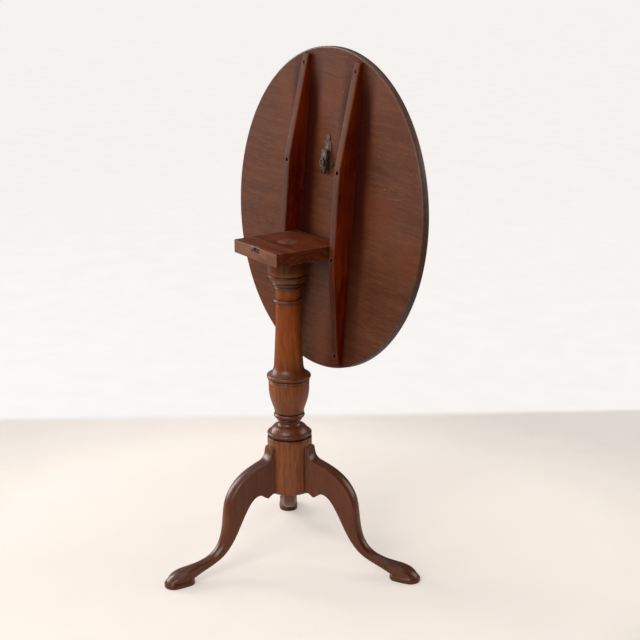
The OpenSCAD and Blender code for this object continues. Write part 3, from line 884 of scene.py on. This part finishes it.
@dataclass
class TiltBlock:
    """The block on the column with its pivot pins, and the strike plate in its edge."""

    frame: Frame
    half: float = 80.0
    front: float = 77.0
    back: float = 71.5
    thick: float = 27.0
    lean: float = 4.9
    pin_radius: float = 9.0
    pin_long: float = 16.0
    # Half the strike plate's length, its height and its thickness.
    strike: tuple[float, float, float] = (16.0, 11.0, 1.2)
    strike_down: float = 1.0
    strike_play: float = 0.05
    bolt_down: float = 5.3
    bolt_hole: float = 3.4
    bolt_bore: float = 3.9
    bolt_deep: float = 9.0

    def build(self) -> None:
        """Build the block and the strike plate, and dress the wedge and the plate's pins."""
        self.top = self.frame.block_top
        self._block()
        self._strike()
        self.frame.dress("strike_pins", BRONZE.material())
        self.frame.dress("tenon_wedge", BLOCK.material())

    def _side(self) -> list[Point]:
        """Draw the block seen from the side.

        Returns:
            The outline in metres: (along Y, height).
        """
        r = self.thick / 2
        low, mid, high = self.top - self.thick * MM, self.top - r * MM, self.top
        turn = arc((-self.back * MM, mid), r * MM, 90, 180 + self.lean, 16)
        last = turn[-1]
        foot = (last[0] + (last[1] - low) * math.tan(math.radians(self.lean)), low)
        return [(self.front * MM, low), (self.front * MM, high), *turn, foot]

    def _block(self) -> None:
        """Build the block: a thick square board, round behind its pins and worn at its arrises."""
        bm = board([(-y, z) for y, z in self._side()], 2 * self.half * MM, 1.1 * MM, 4)
        # The outline is drawn in XY and extruded along Z, then turned so that it lies along X.
        stand = Matrix(((0, 0, 1, -self.half * MM), (-1, 0, 0, 0), (0, 1, 0, 0), (0, 0, 0, 1)))
        bmesh.ops.transform(bm, matrix=stand, verts=bm.verts)
        piece = object_of("pivot_block", bm, sharp=50)
        y, z = -self.back * MM, self.top - self.thick * MM / 2
        for s in (-1, 1):
            ends = [Vector((s * x * MM, y, z)) for x in (70, self.half + self.pin_long)]
            work(piece, [rod(self.pin_radius * MM, *ends, 64)], Joinery.JOIN)
        w, h, t = self.strike
        w, h = (w + self.strike_play) * MM, h * MM / 2
        middle = self.top - self.strike_down * MM - h
        front = self.front * MM
        pocket = brick(Vector((-w, front - t * MM, middle - h)), Vector((w, front + 0.01, middle + h)))
        z = self.top - self.bolt_down * MM
        ends = [Vector((0, y, z)) for y in (front + 0.01, front - self.bolt_deep * MM)]
        hole = rod(self.bolt_bore * MM, *ends)
        work(piece, [pocket, hole], Joinery.CUT)
        for finish in (BLOCK, LIT_BLOCK_FACE):
            piece.data.materials.append(finish.material())
        # The catch face takes the paler finish: painted light.
        for p in piece.data.polygons:
            p.material_index = int(p.normal.y > 0.8 and p.center.y > front - 2 * MM)
        finish = piece.data.materials[0]
        self.frame.fit(piece, self.frame.centred, "base", "block_wood", finish, "pivot_block")

    def _strike(self) -> None:
        """Build the strike plate: thin brass let in flush, with the bolt's hole."""
        w, h, t = (size * MM for size in self.strike)
        middle = self.top - self.strike_down * MM - h / 2
        corners = [(-w, -h / 2), (w, -h / 2), (w, h / 2), (-w, h / 2)]
        bm = board(corners, t, 0.25 * MM, 2)
        y, z = self.front * MM, self.top - self.bolt_down * MM
        stand = Matrix(((1, 0, 0, 0), (0, 0, 1, y - t), (0, 1, 0, middle), (0, 0, 0, 1)))
        bmesh.ops.transform(bm, matrix=stand, verts=bm.verts)
        piece = object_of("strike_plate", bm)
        hole = rod(self.bolt_hole * MM, Vector((0, y + 0.01, z)), Vector((0, y - 0.01, z)))
        work(piece, [hole], Joinery.CUT)
        self.frame.fit(piece, self.frame.centred, "base", "brass", BRONZE.material(), "strike_plate")


@dataclass
class TurnedColumn:
    """The column, turned in one piece from its hub to the tenon in the block."""

    frame: Frame
    cap_radius: float = 40.7
    cap_high: float = 40.0
    shaft: float = 25.6
    shaft_low: float = 29.8
    collar: float = 45.9
    collar_high: float = 405.5
    bell: float = 42.4
    ring: float = 31.7
    neck: float = 23.2
    hub: float = 46.6
    groove: float = 268.0
    block_thick: float = 27.0
    tenon: float = 19.0

    def _outline(self) -> list[Point]:
        """Draw half the column.

        Returns:
            (radius, height) points in millimetres, from the hub's foot to the end of the tenon.
        """
        h, g, n, k, b = self.hub, self.groove, self.neck, self.ring, self.bell
        c, z = self.collar, self.collar_high
        low = self.frame.hub_low / MM
        top = self.frame.block_top / MM
        under = top - self.block_thick
        cap = under - self.cap_high
        s, w, q = self.shaft, self.shaft_low, self.cap_radius
        line = [(0, low), (h - 3, low), (h - 1, low + 0.1), (h - 0.3, low + 0.5), (h, low + 1.2)]
        line += [(h, low + (g - 3 - low) * i / 6) for i in range(1, 7)]
        line += [(h, g + 4), (h - 0.4, g + 5), (h - 1.4, g + 5.5)]
        line += [(h - 4.4, g + 5.8), (h - 4.6, g + 8.2), (h - 3.8, g + 8.6)]
        line += arc((h - 4, g + 12.6), 4.0, -80, 74, 14)
        line += [(h - 4.4, g + 16.8), (h - 6.0, g + 17.2), (h - 6.6, g + 17.8)]
        line += curve((h - 6.8, g + 18.2), (h - 8, g + 22), (n + 12, g + 26), (n + 8.2, g + 29), 12)
        line += [(n + 7.2, g + 29.4), (n + 6.4, g + 29.6)]
        line += curve((n + 6.2, g + 29.8), (n + 2, g + 31), (n, g + 34), (n, g + 38.5), 12)
        line += curve((n, g + 39), (n + 0.2, g + 41), (n + 1.2, g + 42), (n + 3, g + 42.6), 8)
        line += [(n + 3.4, g + 43.2), (n + 3.2, g + 44.2), (n + 2.4, g + 45)]
        line += [(k - 4.4, g + 46.4), (k - 3.6, g + 46.8)]
        line += arc((k - 4.6, g + 52.5), 5.2, -72, 76, 14)
        line += [(k - 2.6, g + 58.2), (k - 1.4, g + 58.8), (k - 0.8, g + 60.4), (k - 0.8, g + 62)]
        line += curve((k - 0.4, g + 65), (k + 3, g + 76), (b - 0.8, g + 88), (b - 0.3, z - 24), 22)
        line += [(b - 0.1, z - 16), (b, z - 11.2), (b - 0.4, z - 10.6), (b - 1.0, z - 10.2)]
        line += [(b - 0.6, z - 9.7), (b + 0.4, z - 9.2), (b + 0.9, z - 8), (b + 0.7, z - 6.4)]
        line += [(b - 0.4, z - 5.6), (b - 1.1, z - 5.2), (b - 1.1, z - 4.3)]
        line += arc((c - 4.6, z), 4.6, -50, 74, 14)
        line += curve((c - 4.6, z + 5.4), (w + 6, z + 8.5), (w + 1.5, z + 13), (w + 0.8, z + 23), 16)
        line += curve((w, z + 34), (w - 1, z + 60), (s + 0.5, z + 95), (s, z + 135), 18)
        line += [(s, cap - 60), (s, cap - 57.6)]
        line += arc((s + 1, cap - 55), 3.2, -64, 64, 10)
        line += [(s, cap - 52.4), (s - 0.3, cap - 40), (s - 0.3, cap - 30)]
        line += arc((s - 0.2, cap - 27.5), 2.1, -72, 72, 8)
        line += [(s + 0.8, cap - 25.4), (s + 2.4, cap - 23.4), (s + 3.6, cap - 21.6)]
        line += arc((s + 4, cap - 19.5), 1.8, -70, 70, 8)
        line += curve((s + 6, cap - 17), (q - 5, cap - 14), (q - 1.2, cap - 9), (q - 1, cap - 2.4), 12)
        line += [(q - 1.3, cap - 1.8), (q - 2.4, cap - 1.5), (q - 2.6, cap - 0.6)]
        line += [(q - 2.4, cap + 0.4), (q - 0.8, cap + 0.9), (q, cap + 1.8)]
        line += [(q, cap + (under - cap) * i / 4) for i in range(1, 5)]
        proud = top + 0.06
        return line + [(self.tenon, under), (self.tenon, top), (self.tenon - 0.4, proud), (0, proud)]

    def _polish_and_shade(self) -> tuple[Point, ...]:
        """Work out where the dark polish lies, and where the block's shadow is painted on the cap.

        Returns:
            (height in millimetres, thickness from 0 to 1) pairs, from the hub's foot up.
        """
        low, g, z = self.frame.hub_low / MM, self.groove, self.collar_high
        under = self.frame.block_top / MM - self.block_thick
        cap = under - self.cap_high
        hub = [(low, 0.3), (low + 12, 0.22), (g - 4, 0.24), (g + 4, 0.3)]
        neck = [(g + 5.5, 0.72), (g + 20, 0.58), (g + 34, 0.66), (g + 45, 0.56)]
        bell = [(g + 59, 0.6), (g + 64, 0.34), (g + 76, 0.24), (z - 12, 0.24)]
        collar = [(z - 8, 0.2), (z - 5, 0.7), (z + 1, 0.58), (z + 10, 0.62)]
        shaft = [(z + 24, 0.28), (z + 46, 0.04), (cap - 90, 0.0), (cap - 60, 0.16)]
        ring = [(cap - 57, 0.55), (cap - 51, 0.4), (cap - 46, 0.18)]
        cove = [(cap - 31, 0.26), (cap - 28, 0.6), (cap - 8, 0.5)]
        # The cap under the block is darkened as a painted shadow of the block.
        top = [(cap + 1, 0.62), (cap + 3, 0.38), (under, 0.55)]
        return (*hub, *neck, *bell, *collar, *shaft, *ring, *cove, *top)

    def build(self) -> None:
        """Turn the column, and dress the iron under its hub."""
        outline = [(r * MM, z * MM) for r, z in self._outline()]
        piece = object_of("column", lathe(outline, 160), sharp=50)
        for finish in (replace(COLUMN, polish_and_shade=self._polish_and_shade()), TENON):
            piece.data.materials.append(finish.material())
        for p in piece.data.polygons:
            p.material_index = int(p.center.z > self.frame.block_top - 0.5 * MM)
        finish = piece.data.materials[0]
        self.frame.fit(piece, self.frame.centred, "base", "column_wood", finish, "column")
        iron = IRON.material()
        for node in ("hub_plate", "hub_nails"):
            self.frame.dress(node, iron)


@dataclass
class CabrioleLeg:
    """One leg: a carved knee, a slim ankle and an oval pad, with its tail in the hub."""

    frame: Frame
    name: str
    turn: float
    hub: float = 46.6
    shoulder: float = 257.0
    wide: float = 29.0
    ankle: float = 22.0
    foot: float = 268.0
    pad_half: float = 32.8
    pad_wide: float = 20.7

    def _edges(self) -> tuple[list[Point], list[Point]]:
        """Draw the leg from the side.

        Returns:
            Its upper and its lower edge from the hub to the pad, in millimetres: (from the axis, height).
        """
        h, s = self.hub, self.shoulder
        low = self.frame.hub_low / MM
        upper = [(h - 3, s), (h + 2, s), (h + 4.2, s - 0.4), (h + 4.8, s - 2)]
        upper += curve((h + 4.8, s - 2), (h + 7, 234), (h + 13, 230), (74, 227), 14)
        upper += curve((74, 227), (110, 217.5), (151, 191), (158.5, 145), 26)
        upper += curve((158.5, 145), (165, 106), (161, 58), (207, 43.5), 26)
        upper += curve((207, 43.5), (223, 38.5), (243, 36.5), (262, 32.5), 12)
        upper += curve((262, 32.5), (280, 28.5), (294, 21), (298.5, 7), 14)
        lower = [(h - 3, low), (h + 3.4, low)]
        lower += curve((h + 3.4, low), (54, 152), (57, 151), (60.5, 147.6), 8)
        lower += curve((62, 147.6), (70, 151), (73, 157), (80, 158), 10)
        lower += curve((80, 158), (95, 158), (105, 143), (119, 117), 18)
        lower += curve((119, 117), (133, 90), (148, 52), (180, 34.5), 22)
        lower += curve((180, 34.5), (200, 24), (222, 17), (240, 11.5), 14)
        lower += [(262, 7), (280, 6), (297, 5)]
        return upper, lower

    @staticmethod
    def _walk(line: list[Point], key: Point) -> float:
        """Measure along a line to the point nearest a key point.

        Args:
            line: the points.
            key: the point looked for.

        Returns:
            The length, in the line's own unit.
        """
        best, found, run = 1e9, 0.0, 0.0
        for a, b in zip(line, line[1:]):
            step = math.dist(a, b)
            along = (key[0] - a[0]) * (b[0] - a[0]) + (key[1] - a[1]) * (b[1] - a[1])
            t = min(1.0, max(0.0, along / step**2 if step else 0.0))
            off = math.dist(key, (a[0] + (b[0] - a[0]) * t, a[1] + (b[1] - a[1]) * t))
            if off < best:
                best, found = off, run + t * step
            run += step
        return found

    @staticmethod
    def _at(line: list[Point], length: float) -> Point:
        """Find the point at a length along a line.

        Args:
            line: the points.
            length: how far along it, in the line's own unit.

        Returns:
            The point.
        """
        for a, b in zip(line, line[1:]):
            step = math.dist(a, b)
            if length <= step and step:
                t = length / step
                return a[0] + (b[0] - a[0]) * t, a[1] + (b[1] - a[1]) * t
            length -= step
        return line[-1]

    def _half(self, r: float) -> float:
        """Work out half the leg's width: full at the knee, slim at the ankle, spread over the pad.

        Args:
            r: distance from the column's axis in millimetres.

        Returns:
            Half the width in millimetres.
        """
        a, b = self.wide / 2, self.ankle / 2
        t = min(1.0, max(0.0, (r - 110) / 95))
        t = t * t * (3 - 2 * t)
        flare = min(1.0, max(0.0, (r - 216) / 50))
        spread = b + (self.pad_wide - 1.2 - b) * flare * flare * (3 - 2 * flare)
        toe = max(0.0, (r - self.foot) / (self.pad_half - 1.5))
        return (a + (b - a) * t if r < 216 else spread) * math.sqrt(max(0.02, 1 - toe * toe))

    def _section(self, up: Point, down: Point, share: float) -> list[Vector]:
        """Work out one section between the leg's edges: crowned above, flat at the sides.

        Args:
            up: the point on the upper edge.
            down: the point on the lower edge.
            share: how far down the leg it is, from 0 to 1.

        Returns:
            The ring of points in metres.
        """
        tall = math.dist(up, down)
        way = ((up[0] - down[0]) / tall, (up[1] - down[1]) / tall)
        half = self._half((up[0] + down[0]) / 2)
        rise = min(1.0, share * 5)
        crown = min(tall * 0.42, 0.5 + 3.3 * rise * rise + 2.6 * share)
        soft = 1.4 + 5.2 * share * share
        top = [((i / 6 - 1) * half, tall - crown * abs(i / 6 - 1) ** 2.3) for i in range(13)]
        side = [(half, tall * 0.6), (half * 0.995, tall * 0.36), (half * 0.965, soft)]
        side += [(half * 0.87, soft * 0.32), (half * 0.62, 0.0)]
        ring = [*top, *side, (0.0, 0.0), *((-x, z) for x, z in reversed(side))]
        return [Vector(((down[0] + way[0] * z) * MM, x * MM, (down[1] + way[1] * z) * MM)) for x, z in ring]

    def _pad(self) -> bmesh.types.BMesh:
        """Build the oval pad: a low cushion, widest just over the floor, with a domed top.

        Returns:
            The edited mesh.
        """
        b = self.pad_wide
        side = [(b - 2.8, 0.0)] + curve((b - 2.2, 0.0), (b - 0.6, 0.4), (b, 1.4), (b, 3.4), 4)
        side += curve((b, 3.4), (b, 6.4), (b - 0.8, 9.4), (b - 2.4, 12), 6)
        side += [(b - 8, 13.5), (1, 14)]
        stretch = self.pad_half - self.pad_wide
        sections = []
        for r, z in side:
            ring = []
            for i in range(64):
                a = 2 * math.pi * i / 64
                long = math.copysign(stretch, math.cos(a)) * min(1.0, abs(math.cos(a)) * 3)
                ring.append(Vector(((self.foot + r * math.cos(a) + long) * MM, r * math.sin(a) * MM, z * MM)))
            sections.append(ring)
        return loft(sections)

    def build(self, material: bpy.types.Material) -> None:
        """Carve the leg.

        Args:
            material: its finish.
        """
        upper, lower = self._edges()
        h = self.hub
        # Points of the two edges that face each other across the leg, from the hub to the toe.
        pairs = [((h - 3, 257), (h - 3, 155)), ((h + 4, 257), (h + 3, 155)), ((74, 227), (61, 147.6))]
        pairs += [((105, 217), (80, 158)), ((150, 178), (104, 147)), ((158.5, 145), (119, 117))]
        pairs += [((164, 98), (138, 81)), ((178, 62), (161, 49)), ((207, 43.5), (198, 27))]
        pairs += [((243, 36), (238, 12)), ((262, 32.5), (262, 7))]
        pairs += [((284, 27), (280, 6)), ((298.5, 7), (297, 5))]
        keys = [(self._walk(upper, a), self._walk(lower, b)) for a, b in pairs]
        sections = []
        for i, ((u0, l0), (u1, l1)) in enumerate(zip(keys, keys[1:])):
            steps = max(2, round((u1 - u0) / 3.2))
            for k in range(steps + (i == len(keys) - 2)):
                t = k / steps
                up, down = self._at(upper, u0 + (u1 - u0) * t), self._at(lower, l0 + (l1 - l0) * t)
                sections.append(self._section(up, down, (i + t) / (len(keys) - 1)))
        pad = object_of(self.name, self._pad())
        work(pad, [object_of("shell", loft(sections))], Joinery.JOIN)
        pad.data.transform(Matrix.Rotation(math.radians(self.turn), 4, "Z"))
        self.frame.fit(pad, self.frame.centred, "base", "leg_wood", material, self.name)


@dataclass
class SprungCatch:
    """The brass catch on the underside: plate, case, bolt, knob and screws."""

    frame: Frame
    start: float = 78.5
    plate: float = 1.5
    case_wide: float = 9.0
    case_long: float = 40.0
    case_out: float = 10.0
    # How far below the board the bolt's middle runs.
    drop: float = 5.6
    knob: float = 8.0
    stem: float = 1.8
    gap: float = 0.3
    spring_start: float = 7.25
    spring_back: float = 3.2
    spring_half: float = 2.2
    spring_wire: float = 0.8
    spring_tall: float = 3.0
    bends: int = 4
    stroke: float = 8.0

    def build(self) -> None:
        """Build the plate, the case, the spring and the knob, and dress the rest."""
        self.under = self.frame.block_top + self.gap * MM
        self.case_start = self.start + 2.5
        self.knob_at = self.case_start + 14
        brass, bronze, iron = BRASS.material(), BRONZE.material(), IRON.material()
        self._plate(bronze)
        self._case(bronze)
        self._knob(brass)
        self.frame.dress("catch_bolt", bronze)
        self._spring(iron)
        self.frame.dress("catch_screws", brass)

    def _plate(self, material: bpy.types.Material) -> None:
        """Build the back plate: a round nose, two ears, a waist and a pointed finial.

        Args:
            material: its finish.
        """
        y = self.case_start
        end = y + self.case_long + 17
        side = [(6, self.start + 1)]
        side += curve((9, y + 4), (15, y + 5), (21, y + 6), (24, y + 12), 10)
        side += curve((24, y + 12), (24, y + 20), (15, y + 21), (12, y + 30), 10)
        side += [(12, end - 5)]
        side += curve((12, end - 2), (9, end + 1), (4.4, end - 1), (3.2, end + 1.6), 6)
        side += curve((3.2, end + 1.6), (8, end + 4), (6.5, end + 12), (0, end + 15), 10)
        outline = side + [(-a, b) for a, b in reversed(side[:-1])]
        bm = board([(a * MM, b * MM) for a, b in outline], self.plate * MM, 0.35 * MM, 2)
        bmesh.ops.translate(bm, verts=bm.verts, vec=(0, 0, self.under - self.plate * MM))
        piece = object_of("catch_plate", bm)
        self.frame.fit(piece, self.frame.raised, "top", "brass", material, "catch_plate")

    def _case(self, material: bpy.types.Material) -> None:
        """Build the case: a small box with a slot for the knob and a bore for the bolt.

        Args:
            material: its finish.
        """
        w, y0, y1 = self.case_wide * MM, self.case_start * MM, (self.case_start + self.case_long) * MM
        tall = (self.case_out - self.plate) * MM
        bm = board([(-w, y0), (w, y0), (w, y1), (-w, y1)], tall, 0.9 * MM, 3)
        bmesh.ops.translate(bm, verts=bm.verts, vec=(0, 0, self.under - self.case_out * MM))
        piece = object_of("catch_case", bm)
        low = self.under - self.case_out * MM
        k, s = self.knob_at * MM, self.stem * MM
        z = self.under - self.drop * MM
        first, last = k - s - 0.0004, k + s + self.stroke * MM + 0.0004
        slot = brick(Vector((-s - 0.0003, first, low - 0.01)), Vector((s + 0.0003, last, low + 0.003)))
        room = brick(Vector((-0.0046, y0 + 0.003, z - 0.003)), Vector((0.0046, y1 - 0.003, z + 0.003)))
        bore = rod(0.003, Vector((0, y0 - 0.01, z)), Vector((0, y0 + 0.005, z)))
        work(piece, [room, slot, bore], Joinery.CUT)
        self.frame.fit(piece, self.frame.raised, "top", "brass", material, "catch_case")

    def _spring(self, material: bpy.types.Material) -> None:
        """Build the spring: flat wire bent to and fro. It rides on the board and does not close up as the
        bolt is drawn.

        Args:
            material: its finish.
        """
        half, wire = self.spring_half, self.spring_wire
        y0, y1 = self.knob_at + self.spring_start, self.case_start + self.case_long - self.spring_back
        bend = (y1 - y0 - wire) / self.bends / 2
        path = []
        for i in range(self.bends + 1):
            side, y = (1 if i % 2 == 0 else -1), y0 + wire / 2 + 2 * i * bend
            path += [(-side * half, y), (side * half, y)]
            if i < self.bends:
                turn = arc((0, y + bend), bend, -90, 90, 10)[1:-1]
                path += [(side * (half + x), v) for x, v in turn]
        z = self.under / MM - self.drop
        w, t, soft = wire / 2, self.spring_tall / 2, 0.15
        rim = [(-w, soft - t), (soft - w, -t), (w - soft, -t), (w, soft - t)]
        rim += [(-u, -v) for u, v in rim]
        sections = []
        for i, (x, y) in enumerate(path):
            a, b = path[max(0, i - 1)], path[min(len(path) - 1, i + 1)]
            far = math.dist(a, b)
            across, along = (a[1] - b[1]) / far, (b[0] - a[0]) / far
            sections.append([Vector((x + across * u, y + along * u, z + v)) * MM for u, v in rim])
        piece = object_of("catch_wire_spring", loft(sections))
        self.frame.fit(piece, self.frame.raised, "top", "iron", material, "catch_spring")
        place = self.frame.raised
        along = place.to_3x3() @ Vector((0, 1, 0))
        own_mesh(piece)

    def _knob(self, material: bpy.types.Material) -> None:
        """Build the knob: a dished button on a waisted stem.

        Args:
            material: its finish.
        """
        low = (self.under / MM) - self.case_out
        k = self.knob
        line = [(0, low + 4.4), (self.stem, low + 4.4), (self.stem, low - 0.3), (5.6, low - 0.3)]
        line += [(6.2, low - 0.6), (6.2, low - 1.0), (5.6, low - 1.3)]
        line += curve((4.4, low - 1.4), (2.3, low - 2.4), (k - 3, low - 2.2), (k - 0.6, low - 2.7), 12)
        line += [(k - 0.1, low - 3.2), (k, low - 4.0), (k - 0.2, low - 4.9)]
        line += [(k - 0.8, low - 5.3), (k - 1.6, low - 5.4), (k - 2.2, low - 5.3)]
        dish = [(k - 2.3, low - 5.0), (k - 2.6, low - 3.2), (k - 3.2, low - 3.0), (k - 4.2, low - 3.0)]
        line += curve(*dish, 6)
        line += curve((k - 4.6, low - 3.1), (k - 4.9, low - 4.6), (2, low - 5.1), (0, low - 5.1), 8)
        piece = object_of("catch_knob", lathe([(r * MM, z * MM) for r, z in line], 64), sharp=60)
        shift = Matrix.Translation((0, self.knob_at * MM, 0))
        self.frame.fit(piece, self.frame.raised @ shift, "bolt", "brass", material, "catch_knob")


# ---------------------------------------------------------------- studio and camera


@dataclass
class Studio:
    """A pale floor that runs on into a pale wall tone, and plain soft light from the windows' side."""

    frame: Frame
    azimuth: float = 237.19
    wall_behind: float = 870.0
    floor_colour: str = "f4ede7"
    wall_colour: str = "f8f5f3"
    lift: float = 0.39

    def build(self) -> None:
        """Lay the floor and hang the lights."""
        self._floor()
        self._sky()
        aim = self.frame.axis + Vector((0, 0, 0.62))
        self._lamp("front_window", Vector((-1.5, 2.75, 2.4)), aim, (2.0, 2.0), 60, "fff8f0")
        self._lamp("side_window", Vector((2.75, 1.3, 1.4)), aim, (1.2, 2.2), 56, "fffaf4")
        self._lamp("far_window", Vector((-1.2, -2.8, 1.5)), aim, (2.0, 2.0), 34, "fff6ea")
        self._lamp("top_soft", Vector((0.2, 0.2, 3.2)), aim, (2.0, 2.0), 10, "fffdf8")

    def _floor(self) -> None:
        """Lay one wide sheet of pale paper, a little whiter past the line where a wall would stand."""
        bm = bmesh.new()
        bmesh.ops.create_grid(bm, x_segments=8, y_segments=8, size=40)
        floor = object_of("floor", bm, smooth=False)
        floor.location.z = -0.0002
        material, tree = blank_material("pale studio paper")
        node = partial(add, tree)
        place = node("TexCoord", out="Object")
        a = math.radians(self.azimuth)
        ahead = Vector((-math.sin(a), math.cos(a), 0))
        along = node("VectorMath", (place, tuple(ahead)), "Value", operation="DOT_PRODUCT")
        line = ahead.dot(self.frame.axis) + self.wall_behind * MM
        far = node("MapRange", (along, line - 0.012, line + 0.03))
        away = node("VectorMath", (place, tuple(self.frame.axis)), "Value", operation="DISTANCE")
        far = node("Math", (far, node("MapRange", (away, 1.0, 1.7))), operation="MAXIMUM")
        cloud = node("TexNoise", {"Vector": place, "Scale": 9.0, "Detail": 6.0, "Roughness": 0.7})
        tint = node("MapRange", (cloud, 0.3, 0.7, 0.97, 1.01))
        tones = {6: linear(self.floor_colour), 7: linear(self.wall_colour)}
        colour = node("Mix", {0: far, **tones}, 2, data_type="RGBA")
        colour = node("VectorMath", {0: colour, "Scale": tint}, operation="SCALE")
        # The lamps light the sheet less and its own glow more the further it is from the table.
        hold = node("MapRange", (far, 0.0, 1.0, node("MapRange", (away, 0.7, 1.5, 0.8, 0.15)), 0.08))
        near = node("MapRange", (away, 0.35, 1.0, self.lift, self.lift + 0.06))
        glow = node("MapRange", (far, 0.0, 1.0, near, 0.95))
        lift = node("Math", (node("LightPath", out="Is Camera Ray"), glow), operation="MULTIPLY")
        base = node("VectorMath", {0: colour, "Scale": hold}, operation="SCALE")
        look = {"Base Color": base, "Roughness": 0.85, "Specular IOR Level": 0.1}
        look |= {"Emission Color": colour, "Emission Strength": lift}
        node("OutputMaterial", {"Surface": node("BsdfPrincipled", look)})
        floor.data.materials.append(material)

    def _sky(self) -> None:
        """Light the room softly from all round, more from the windows' side than from the other."""
        world = bpy.data.worlds.new("studio")
        bpy.context.scene.world = world
        world.use_nodes = True
        tree = world.node_tree
        tree.nodes.clear()
        node = partial(add, tree)
        way = node("TexCoord", out="Generated")
        side = node("VectorMath", (way, (0.62, 0.72, 0.32)), "Value", operation="DOT_PRODUCT")
        level = node("MapRange", (side, -0.35, 1.0, 0.03, 0.55))
        seen = node("LightPath", out="Is Camera Ray")
        level = node("Mix", {0: seen, 2: level, 3: 0.95}, data_type="FLOAT")
        glow = node("Background", {"Color": linear("fdf9f5"), "Strength": level})
        node("OutputWorld", {"Surface": glow})

    def _lamp(self, name: str, place: Vector, aim: Vector, size: Point, watts: float, colour: str) -> None:
        """Hang one soft lamp.

        Args:
            name: its name.
            place: where it hangs, from the column's axis, in metres.
            aim: what it faces.
            size: its width and height in metres.
            watts: its power.
            colour: its colour.
        """
        data = bpy.data.lights.new(name, "AREA")
        data.shape = "RECTANGLE"
        data.size, data.size_y = size
        data.energy = watts
        data.color = linear(colour)[:3]
        lamp = bpy.data.objects.new(name, data)
        lamp.location = place + self.frame.axis
        lamp.rotation_mode = "QUATERNION"
        lamp.rotation_quaternion = (aim - lamp.location).to_track_quat("-Z", "Y")
        bpy.context.scene.collection.objects.link(lamp)


@dataclass
class Viewpoint:
    """Where the table is seen from: a long lens at eye height, looking down a little."""

    frame: Frame
    azimuth: float = 237.193
    distance: float = 3.189
    height: float = 1.4624
    pan: float = -1.1739
    pitch: float = 16.3992
    roll: float = -0.3879
    lens: float = 91.1

    def build(self) -> None:
        """Set up the camera."""
        a = math.radians(self.azimuth)
        ahead = Vector((-math.sin(a), math.cos(a), 0))
        place = self.frame.axis - ahead * self.distance + Vector((0, 0, self.height))
        ahead = Matrix.Rotation(math.radians(self.pan), 3, "Z") @ ahead
        right = ahead.cross(Vector((0, 0, 1)))
        p = math.radians(self.pitch)
        forward = ahead * math.cos(p) - Vector((0, 0, math.sin(p)))
        up = right.cross(forward)
        r = math.radians(self.roll)
        right, up = right * math.cos(r) + up * math.sin(r), up * math.cos(r) - right * math.sin(r)
        turn = Matrix((right, up, -forward)).transposed()
        data = bpy.data.cameras.new("camera")
        data.lens = self.lens
        data.sensor_width = 36
        camera = bpy.data.objects.new("camera", data)
        camera.matrix_world = Matrix.Translation(place) @ turn.to_4x4()
        bpy.context.scene.collection.objects.link(camera)
        bpy.context.scene.camera = camera


def main() -> None:
    """Build the table round its frame, then the studio and the camera."""
    logging.basicConfig(level=logging.INFO, format="%(name)s: %(message)s")
    frame = Frame(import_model())
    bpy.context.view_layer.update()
    bpy.context.scene.view_settings.view_transform = "Standard"
    Viewpoint(frame).build()
    RoundTop(frame).build()
    TiltBlock(frame).build()
    TurnedColumn(frame).build()
    leg_finish = LEG.material()
    for foot, place in frame.feet.items():
        turn = math.degrees(math.atan2(place.y, place.x))
        CabrioleLeg(frame, foot.replace("foot", "leg"), turn).build(leg_finish)
    SprungCatch(frame).build()
    Studio(frame).build()


if __name__ == "__main__":
    main()
